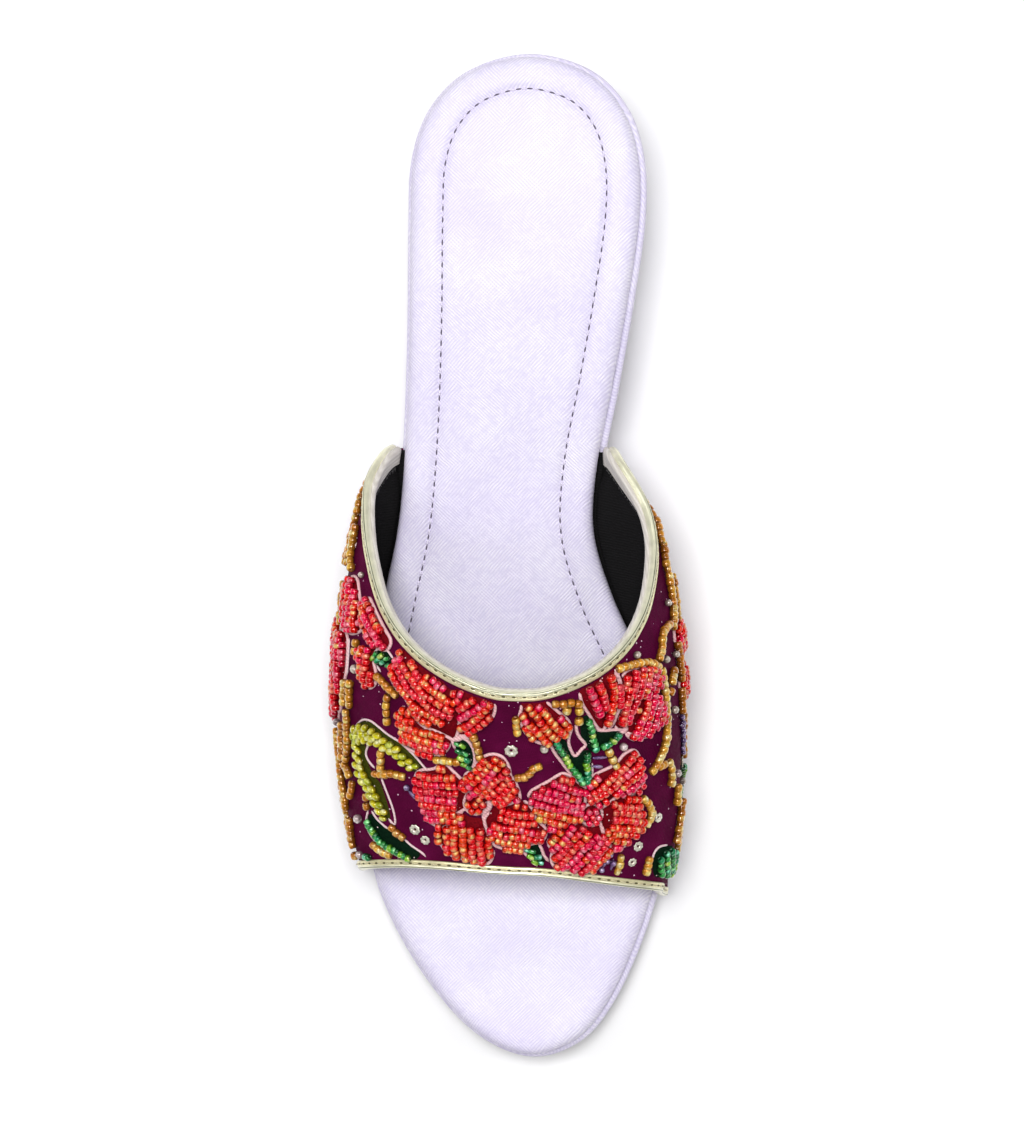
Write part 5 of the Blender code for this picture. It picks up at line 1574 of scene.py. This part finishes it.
class Patch:
    """A padded patch of the chart: a petal, or the ground of a leaf."""

    def __init__(self, outline, pad, rim=2.4):
        self.loop = smooth_loop(outline)
        self.pad, self.rim = pad, rim
        self.heart = self.loop.mean(axis=0)

    def depth(self, at):
        """Distance in from the outline, negative outside it."""
        away = np.linalg.norm(np.asarray(at)[..., None, :] - self.loop, axis=-1).min(axis=-1)
        return np.where(inside_loop(self.loop, at), away, -away)

    def dome(self, at):
        """How high the padding lifts the face."""
        share = np.clip(self.depth(at) / self.rim, 0.0, 1.0)
        return self.pad * (1 - (1 - share) ** 2)

    def strings(self, turn, bow, bare):
        """Rows of places for beads, each with its direction."""
        turn = math.radians(turn)
        bare = np.array(bare, float) if len(bare) else None
        way = np.array((math.cos(turn), math.sin(turn)))
        across = np.array((-way[1], way[0]))
        offset = (self.loop - self.heart) @ across - bow * ((self.loop - self.heart) @ way) ** 2
        inset = PETAL_MARGIN + 0.24
        count = max(1, round((np.ptp(offset) - 2 * inset) / ROW_PITCH) + 1)
        rows = np.linspace(offset.min() + inset, offset.max() - inset, count)
        found = []
        for q in rows:
            lean = rng.normal(0, 0.025)
            p = np.linspace(-20.0, 20.0, 500)
            wave = 0.16 * np.sin(p * 0.75 + rng.uniform(0, TURN)) + rng.normal(0, 0.06) + bow * p**2
            line = self.heart + np.outer(p, way) + np.outer(q + lean * p + wave, across)
            ok = self.depth(line) > PETAL_MARGIN
            if bare is not None:
                ok &= ~inside_loop(bare, line)
            for start, end in stretches(ok):
                run = p[end - 1] - p[start]
                if run < 0.3:
                    continue
                beads = round(run / BEAD_PITCH) + 1
                spots = np.linspace(p[start], p[end - 1], beads)
                if beads == 1:
                    spots = [(p[start] + p[end - 1]) / 2]
                found.append((read_along(spots, p, line), way + lean * across))
        return found


class Beadwork:
    """Collects beads by colour, and keeps them off the bindings and out of each other."""

    def __init__(self):
        self.sets = {}
        self.taken = np.zeros((0, 3))
        self.rims = (THROAT.path[::4], TOE.path[::4])

    def room(self, points, least):
        """True where points are at least so far from the throat's rim and from the toe's."""
        ok = np.ones(len(points), bool)
        for rim, far in zip(self.rims, least):
            ok &= np.linalg.norm(points[:, None] - rim[None], axis=2).min(axis=1) > far
        return ok

    def within(self, places):
        """True for places of the chart that are on the band."""
        s, y = places.T
        girth = s / FACE.half_at(s, y)
        between = (y < edge_station(girth, "throat")) & (y > edge_station(girth, "toe"))
        return between & (np.abs(girth) < 0.985)

    def cord_room(self, places):
        """True for places of the chart where a cord is clear of both bindings."""
        return self.within(places) & self.room(FACE.over(places)[0], CORD_CLEAR)

    def drawn_in(self, patch):
        """The patch, with any edge that would reach under a binding moved in towards its heart."""
        for _ in range(14):
            clear = self.room(FACE.over(patch.loop)[0], PETAL_CLEAR)
            patch.loop = patch.loop + np.where(clear[:, None], 0.0, 0.2) * unit(patch.heart - patch.loop)
        return patch

    def lay(self, kind, places, way, length, width, lift, clear, slant=0.0, loose=1.0, strand=None):
        """Lays beads at places of the chart, strung along way, which may differ from bead to bead.

        A bead nearer than clear to an earlier one is left out. strand is the shade of most of them.
        """
        places = np.atleast_2d(places)
        way = np.broadcast_to(way, places.shape)
        point, normal = FACE.over(places)
        lift = np.broadcast_to(lift, len(places))
        axis = unit(FACE.over(places + way * 0.2)[0] - point)
        ok = self.within(places) & self.room(point, BEAD_CLEAR)
        rows, colours = self.sets.setdefault(kind, []), SHADES[kind]
        fixed = colours[rng.integers(len(colours))] if strand is None else strand
        for k in np.flatnonzero(ok):
            turn = math.radians(slant) + loose * rng.normal(0, 0.12)
            side = np.cross(normal[k], axis[k])
            x = unit(axis[k] * math.cos(turn) + side * math.sin(turn))
            tip = loose * rng.normal(0, 0.08)
            x = unit(x + normal[k] * tip)
            y = unit(np.cross(normal[k], x))
            z = np.cross(x, y)
            grow = 1 + loose * rng.normal(0, 0.06)
            jog, drift, rise = loose * rng.normal(0, (0.08, 0.05, 0.05))
            height = lift[k] + width / 2 * 0.92 + rise
            centre = point[k] + normal[k] * height + side * jog + axis[k] * drift
            if len(self.taken) and clear > 0:
                if np.linalg.norm(self.taken - centre, axis=1).min() < clear:
                    continue
            shades = colours[rng.integers(len(colours))] if rng.random() < STRAY_SHADE else fixed
            tint = [np.clip(np.array(shade) * (1 + rng.normal(0, 0.12)), 0, 1) for shade in shades]
            # the direction that the bead's painted glint faces
            tint.append((rng.normal(0, 0.7), rng.normal(0, 0.6), 1.0))
            size = (length / 1.36, width / 2 * grow, width / 2 * grow)
            rows.append((centre, (x, y, z), size, tint))
            self.taken = np.vstack((self.taken, centre))

    def make(self, kind, name, template, material, by_side):
        """Joins the beads of a kind into one piece, or into one for each side of the shoe."""
        rows = self.sets[kind]
        pieces = {name: rows}
        if by_side:
            pieces = {
                name + "_lateral": [row for row in rows if row[0][0] < 0],
                name + "_medial": [row for row in rows if row[0][0] >= 0],
            }
        for piece, found in pieces.items():
            places, tints = [row[:3] for row in found], [row[3] for row in found]
            scatter(piece, template, places, material, "plum_cloth", tint=tints)


def ball(rings=6, sides=10):
    """A round bead with its hole's ends along X."""
    profile = [(-math.cos(a), math.sin(a)) for a in np.linspace(0.18, math.pi - 0.18, rings)]
    return lathe([(x * 0.98, r) for x, r in profile] + [(0.5, 0.16), (-0.5, 0.16)], sides)


def used_only(points, faces):
    """Drops the points that no face uses."""
    used = np.unique(np.concatenate([np.array(f) for f in faces]))
    new = np.full(len(points), -1)
    new[used] = np.arange(len(used))
    return points[used], [tuple(int(new[k]) for k in f) for f in faces]


def make_pads(name, patches, work, material):
    """The padded ground of each patch, as a low dome that starts a little under the cloth's face."""
    points, faces = [], []
    for patch in patches:
        start, sides = len(points), len(patch.loop)
        shares = (1.03, 1.0, 0.95, 0.87, 0.75, 0.58, 0.38, 0.18)
        for share in shares:
            ring = patch.heart + (patch.loop - patch.heart) * share
            lift = -0.25 if share > 1.0 else patch.dome(ring) + 0.06
            points.extend(FACE.over(ring, lift)[0])
        faces += grid_faces(len(shares), sides, start=start, close_columns=True)
        points.append(FACE.at(*patch.heart, float(patch.dome(patch.heart[None])[0]) + 0.06)[0])
        top = start + (len(shares) - 1) * sides
        faces += [(top + k, top + (k + 1) % sides, len(points) - 1) for k in range(sides)]
    points = np.array(points)
    keep = work.room(points, PAD_CLEAR)
    faces = [face for face in faces if all(keep[list(face)])]
    add_mesh(name, *used_only(points, faces), material, "plum_cloth", fix_normals=False)


def loop_cords(work, patches, grow=0.30, least=0.85):
    """The pink cord round each patch, laid once where two patches meet."""
    cords, laid = [], np.zeros((0, 2))
    for patch in patches:
        ring = patch.loop + unit(patch.loop - patch.heart) * grow
        ring = np.vstack((ring, ring[:2]))
        free = work.cord_room(ring)
        for other in patches:
            if other is not patch:
                free &= other.depth(ring) < 0.45
        if len(laid):
            free &= np.linalg.norm(ring[:, None] - laid[None], axis=2).min(axis=1) > least
        for start, end in stretches(free):
            if end - start > 8:
                cords.append(FACE.over(ring[start:end], CORD_LIFT))
        laid = np.vstack((laid, ring[free]))
    return cords


def laid_cords(work, paths):
    """Cords along lines of the chart, where they are clear of both bindings."""
    cords = []
    for path in paths:
        places = resample(path, 0.7)
        ok = work.cord_room(places)
        if ok.sum() > 2:
            cords.append(FACE.over(places[ok], CORD_LIFT))
    return cords


def red_cast(cast):
    """A red near a cast, from crimson at 0 to orange at 1."""
    return SHADES["red"][int(np.clip(round(rng.normal(cast * 4, 1.0)), 0, 4))]


def lay_petals(work, petals):
    """Red beads: the separate strings, the petals' rows and the flowers' hearts."""
    for cast, path in RED_STRINGS:
        places = resample(path, 1.45)
        way, strand = np.gradient(places, axis=0), red_cast(cast)
        work.lay("red", places, way, 1.6, 2.4, 0.75, clear=1.1, strand=strand)
    for patch, turn, cast, bow, bare in petals:
        if cast == STRUNG:
            continue
        for places, way in patch.strings(turn, bow, bare):
            strand = red_cast(cast)
            work.lay("red", places, way, 1.46, 2.22, patch.dome(places), clear=0.9, strand=strand)
    for s, y, radius in zip(*FLOWER_HEARTS.values()):
        reach = radius * 0.66
        spots = [(s, y)] + [(s + reach * math.cos(a), y + reach * math.sin(a)) for a in angles_round(6)]
        work.lay("red", spots, (0.8, 0.6), 1.4, 1.9, 0.7, clear=1.1)


def lay_beside_throat(work, petals):
    """A last string along the throat binding, where a petal's rows leave room beside it."""
    for patch, _, cast, *_ in petals:
        near = ~work.room(FACE.over(patch.loop)[0], BESIDE_THROAT)
        if cast == STRUNG or near.all() or near.sum() < 6:
            continue
        start = int(np.flatnonzero(~near)[0])
        loop, near = np.roll(patch.loop, -start, axis=0), np.roll(near, -start)
        edge = loop[near]
        path = resample(edge + 0.55 * unit(patch.heart - edge), 1.62)
        way, strand = np.gradient(path, axis=0), red_cast(cast)
        work.lay("red", path, way, 1.46, 2.1, patch.dome(path), clear=1.5, strand=strand)


def lay_twist(work, kind, path, pitch, apart, length, width, slant, lift=0.3):
    """Two rows of slanted beads that alternate along a line, slimmer towards its ends."""
    places = resample(path, pitch)
    way = unit(np.gradient(places, axis=0))
    swell = 0.76 + 0.26 * np.sin(np.linspace(0.3, math.pi - 0.3, len(places)))
    for k, (place, step, size) in enumerate(zip(places, way, swell)):
        across = np.array((-step[1], step[0])) * size * (apart if k % 2 else -apart)
        work.lay(kind, place + across, step, length * size, width * size, lift, clear=0.5, slant=slant)


def lay_ropes(work):
    """Green stems and leaves, and the lime leaf."""
    for path in STEMS:
        places = resample(path, 1.06)
        for place, step in zip(places, np.gradient(places, axis=0)):
            work.lay("green", place, step, 1.36, 2.00, 0.25, clear=0.6, slant=32, loose=0.8)
    for path in LEAVES:
        lay_twist(work, "green", path, pitch=0.92, apart=0.62, length=1.9, width=1.45, slant=42)
    for path in LIME_ROPES:
        lay_twist(work, "lime", path, pitch=1.12, apart=0.66, length=2.0, width=2.0, slant=46)


def lay_strings(work):
    """Gold strings, and the loose clear and mauve beads between the motifs."""
    for path in GOLD_STRINGS:
        places = resample(path, 1.62)
        way = np.gradient(places, axis=0)
        work.lay("gold", places, way, 1.82, 2.15, 0.02, clear=1.3)
    rounds = (("clear", CLEAR_ROUNDS, 1.36, 2.1, 1.2), ("mauve", MAUVE_ROUNDS, 1.3, 2.0, 0.6))
    for kind, rows, length, width, clear in rounds:
        for s, y, size in zip(*rows.values()):
            facing = (rng.normal(), rng.normal())
            work.lay(kind, (s, y), facing, length * size, width * size, 0.0, clear)
    for path in MAUVE_BUGLES:
        middle, reach = np.mean(path, axis=0), np.subtract(path[1], path[0])
        work.lay("mauve", middle, reach, float(np.linalg.norm(reach)), 1.0, 0.05, clear=0.0)


GLASS = {  # each kind of bead's template, and its glass, roughness and metal
    "red": (SEED_BEAD, "red_lustre_glass", 0.16, 0.12),
    "green": (SEED_BEAD, "green_lustre_glass", 0.14, 0.12),
    "lime": (ball(), "lime_lustre_glass", 0.14, 0.12),
    "gold": (SEED_BEAD, "amber_glass", 0.18, 0.2),
    "clear": (ball(), "clear_glass", 0.08, 0.2),
    "mauve": (ball(), "mauve_glass", 0.06, 0.2),
}


def make_petals(work):
    """The patch of each petal, with how its strings of beads run."""
    petals = []
    for turn, cast, bow, outline, bare in PETALS:
        petals.append((work.drawn_in(Patch(outline, PETAL_PAD)), turn, cast, bow, bare))
    for base, tip, wide in LOW_PETALS:
        turn = math.degrees(math.atan2(tip[1] - base[1], tip[0] - base[0]))
        petals.append((Patch(egg(base, tip, wide), PETAL_PAD), turn, 0.5, 0, ()))
    return petals


def make_hearts():
    """The round patch in the middle of each flower that shows one."""
    hearts = []
    for s, y, radius in zip(*FLOWER_HEARTS.values()):
        ring = [(s + radius * math.cos(a), y + radius * math.sin(a)) for a in angles_round(10)]
        hearts.append(Patch(ring, 0.7))
    return hearts


def make_beadwork():
    """The pads, beads, sequins and cords of the upper."""
    work = Beadwork()
    petals, hearts = make_petals(work), make_hearts()
    lay_petals(work, petals)
    lay_ropes(work)
    lay_strings(work)
    lay_beside_throat(work, petals)

    patches = [patch for patch, *_ in petals]
    red = felt("petal_felt", (0.09, 0.001, 0.004), (0.21, 0.002, 0.008))
    green = felt("leaf_felt", (0.001, 0.006, 0.003), (0.004, 0.022, 0.009))
    olive = felt("olive_felt", (0.020, 0.024, 0.002), (0.062, 0.066, 0.005))
    leaves = [Patch(outline, 0.35, rim=1.2) for outline in GREEN_GROUNDS]
    limes = [Patch(outline, 0.5, rim=1.2) for outline in LIME_GROUNDS]
    make_pads("petal_pads", patches + hearts, work, red)
    make_pads("leaf_grounds", leaves, work, green)
    make_pads("lime_leaf_ground", limes, work, olive)

    for kind, (template, *glass) in GLASS.items():
        work.make(kind, "beads_" + kind, template, bead_glass(*glass), by_side=kind == "red")
    make_sequins()

    pink = thread("pink_cord", (0.96, 0.66, 0.66), (0.74, 0.40, 0.42), 0.7)
    pale = thread("pale_cord", (0.95, 0.80, 0.80), (0.74, 0.52, 0.54), 0.6)
    cords = loop_cords(work, hearts + patches) + laid_cords(work, PINK_CORDS)
    tubes("petal_cords", cords, 0.41, pink, "plum_cloth")
    tubes("leaf_cords", laid_cords(work, PALE_LINES), 0.27, pale, "plum_cloth")
    joins = []
    for (s, y), turn in CORD_JOINS:
        turn = math.radians(turn)
        point, normal = FACE.at(s, y, 0.25)
        ahead = FACE.at(s + math.cos(turn), y + math.sin(turn), 0.25)[0]
        x = unit(ahead - point)
        joins.append((point, (x, np.cross(normal, x), normal), (1.45, 0.75, 0.50)))
    scatter("cord_joins", button(), joins, pink, "plum_cloth")


def make_sequins():
    """Scalloped cup sequins, each with its needle hole."""
    sides, places = 32, []
    rings = (
        (0.34, 0.10), (0.38, 0.34), (0.95, 0.66), (1.50, 0.62), (1.62, 0.42), (0.95, 0.32), (0.40, 0.06),
    )
    angles = angles_round(sides)
    wave = 1 + 0.08 * np.cos(angles * 8)
    points = [(r * w * math.cos(a), r * w * math.sin(a), z) for r, z in rings for a, w in zip(angles, wave)]
    faces = grid_faces(len(rings), sides, close_rows=True, close_columns=True)
    for s, y, size in zip(*SEQUINS.values()):
        point, normal = FACE.at(s, y, 0.1)
        x = unit(np.cross((0.3, 1.0, 0.2), normal))
        places.append((point, (x, np.cross(normal, x), normal), (size, size, size)))
    # painted shade and light: each sequin darker low down and lighter at its crown
    tint = [((0.80, 0.72, 0.56), (1.0, 0.95, 0.80))] * len(places)
    foil = bead_glass("sequin_foil", 0.2, 0.35)
    scatter("sequins", (np.array(points), np.array(faces)), places, foil, "plum_cloth", tint=tint)


# ---------------------------------------------------------------- floor, light and camera


FLOOR_REACH = 3.0  # these five in metres
LAMP_DISTANCE = 1.3
CAMERA_ASIDE = 0.0465
CAMERA_HEIGHT = 0.850
LOOK_HEIGHT = 0.020


def make_stage():
    """A pale floor, soft lamps above and around the shoe, and a camera above it, a little medial."""
    scene = bpy.context.scene
    floor = bpy.data.meshes.new("floor")
    corners = [(FLOOR_REACH * x, FLOOR_REACH * y, 0) for x, y in ((-1, -1), (1, -1), (1, 1), (-1, 1))]
    floor.from_pydata(corners, [], [(0, 1, 2, 3)])
    stage = bpy.data.objects.new("floor", floor)
    stage.location.z = -0.0004
    scene.collection.objects.link(stage)
    paint = Paint("pale_floor", 0.9)
    paint.colour((0.93, 0.93, 0.935))
    floor.materials.append(paint.material)

    world = bpy.data.worlds.new("studio")
    scene.world = world
    world.use_nodes = True
    world.node_tree.nodes["Background"].inputs["Color"].default_value = (1.0, 1.0, 1.0, 1.0)
    world.node_tree.nodes["Background"].inputs["Strength"].default_value = 0.04

    lamps = (  # turn from the medial side, height angle, watts, width and length
        ("main", 100.0, 84.0, 13.2, 0.46, 0.46),
        ("ceiling", 100.0, 80.0, 1.8, 1.10, 1.30),
        ("lateral", 172.0, 44.0, 2.6, 0.30, 0.70),
        ("medial", 8.0, 46.0, 2.6, 0.30, 0.70),
        ("heel", 95.0, 42.0, 1.6, 0.50, 0.25),
        ("toe", -88.0, 46.0, 1.7, 0.50, 0.25),
    )
    for name, turn, climb, watts, wide, deep in lamps:
        turn, climb = math.radians(turn), math.radians(climb)
        light = bpy.data.lights.new(name, "AREA")
        light.shape = "RECTANGLE"
        light.size, light.size_y = wide, deep
        light.energy = watts
        lamp = bpy.data.objects.new(name, light)
        lamp.visible_glossy = name != "ceiling"  # the broad fill gives no haze on the glass
        way = (math.cos(turn) * math.cos(climb), math.sin(turn) * math.cos(climb), math.sin(climb))
        lamp.location = [LAMP_DISTANCE * part for part in way]
        lamp.rotation_euler = (-lamp.location).to_track_quat("-Z", "Y").to_euler()
        scene.collection.objects.link(lamp)

    camera = bpy.data.cameras.new("camera")
    camera.sensor_width = 36.0
    camera.lens = 106.0
    eye = bpy.data.objects.new("camera", camera)
    eye.location = (CAMERA_ASIDE, 0.0, CAMERA_HEIGHT)
    eye.rotation_euler = (0.0, math.atan2(CAMERA_ASIDE, CAMERA_HEIGHT - LOOK_HEIGHT), 0.0)
    scene.collection.objects.link(eye)
    scene.camera = eye
    scene.view_settings.view_transform = "Standard"


def main():
    points, normals = outline_ring(10)
    hatch = lilac_leather("lilac_leather_top", (1.0, -1.0, 0.35), (1.0, 1.0, 0.35))
    side = lilac_leather("lilac_leather_side", (0.7, 0.7, 1.0), (-0.7, -0.7, 1.0))
    make_footbed(points, normals, hatch)
    make_wedge(points, normals, side)
    make_outsole(points, normals, outsole_rubber())
    lilac_thread = thread("lilac_thread", (0.88, 0.86, 0.94), (0.66, 0.60, 0.78))
    # the needle holes' dark discs are painted shade
    make_footbed_stitches(points, normals, lilac_thread, painted_hole_shade("footbed_hole", (0.12, 0.10, 0.15)))
    make_upper(plum_cloth(), lining_cloth())
    strip = thread("inner_strip", (0.80, 0.76, 0.72), (0.56, 0.52, 0.47), 0.9)
    gold_thread = thread("gold_thread", (0.80, 0.74, 0.52), (0.50, 0.44, 0.26))
    # painted shade for the binding's needle holes
    dark = painted_hole_shade("binding_hole", (0.12, 0.10, 0.04))
    fringe = thread("dark_frays", (0.05, 0.04, 0.04), (0.01, 0.01, 0.01))
    make_bindings(gold_leather("champagne_leather"), strip, gold_thread, dark, fringe)
    make_beadwork()
    make_stage()


main()
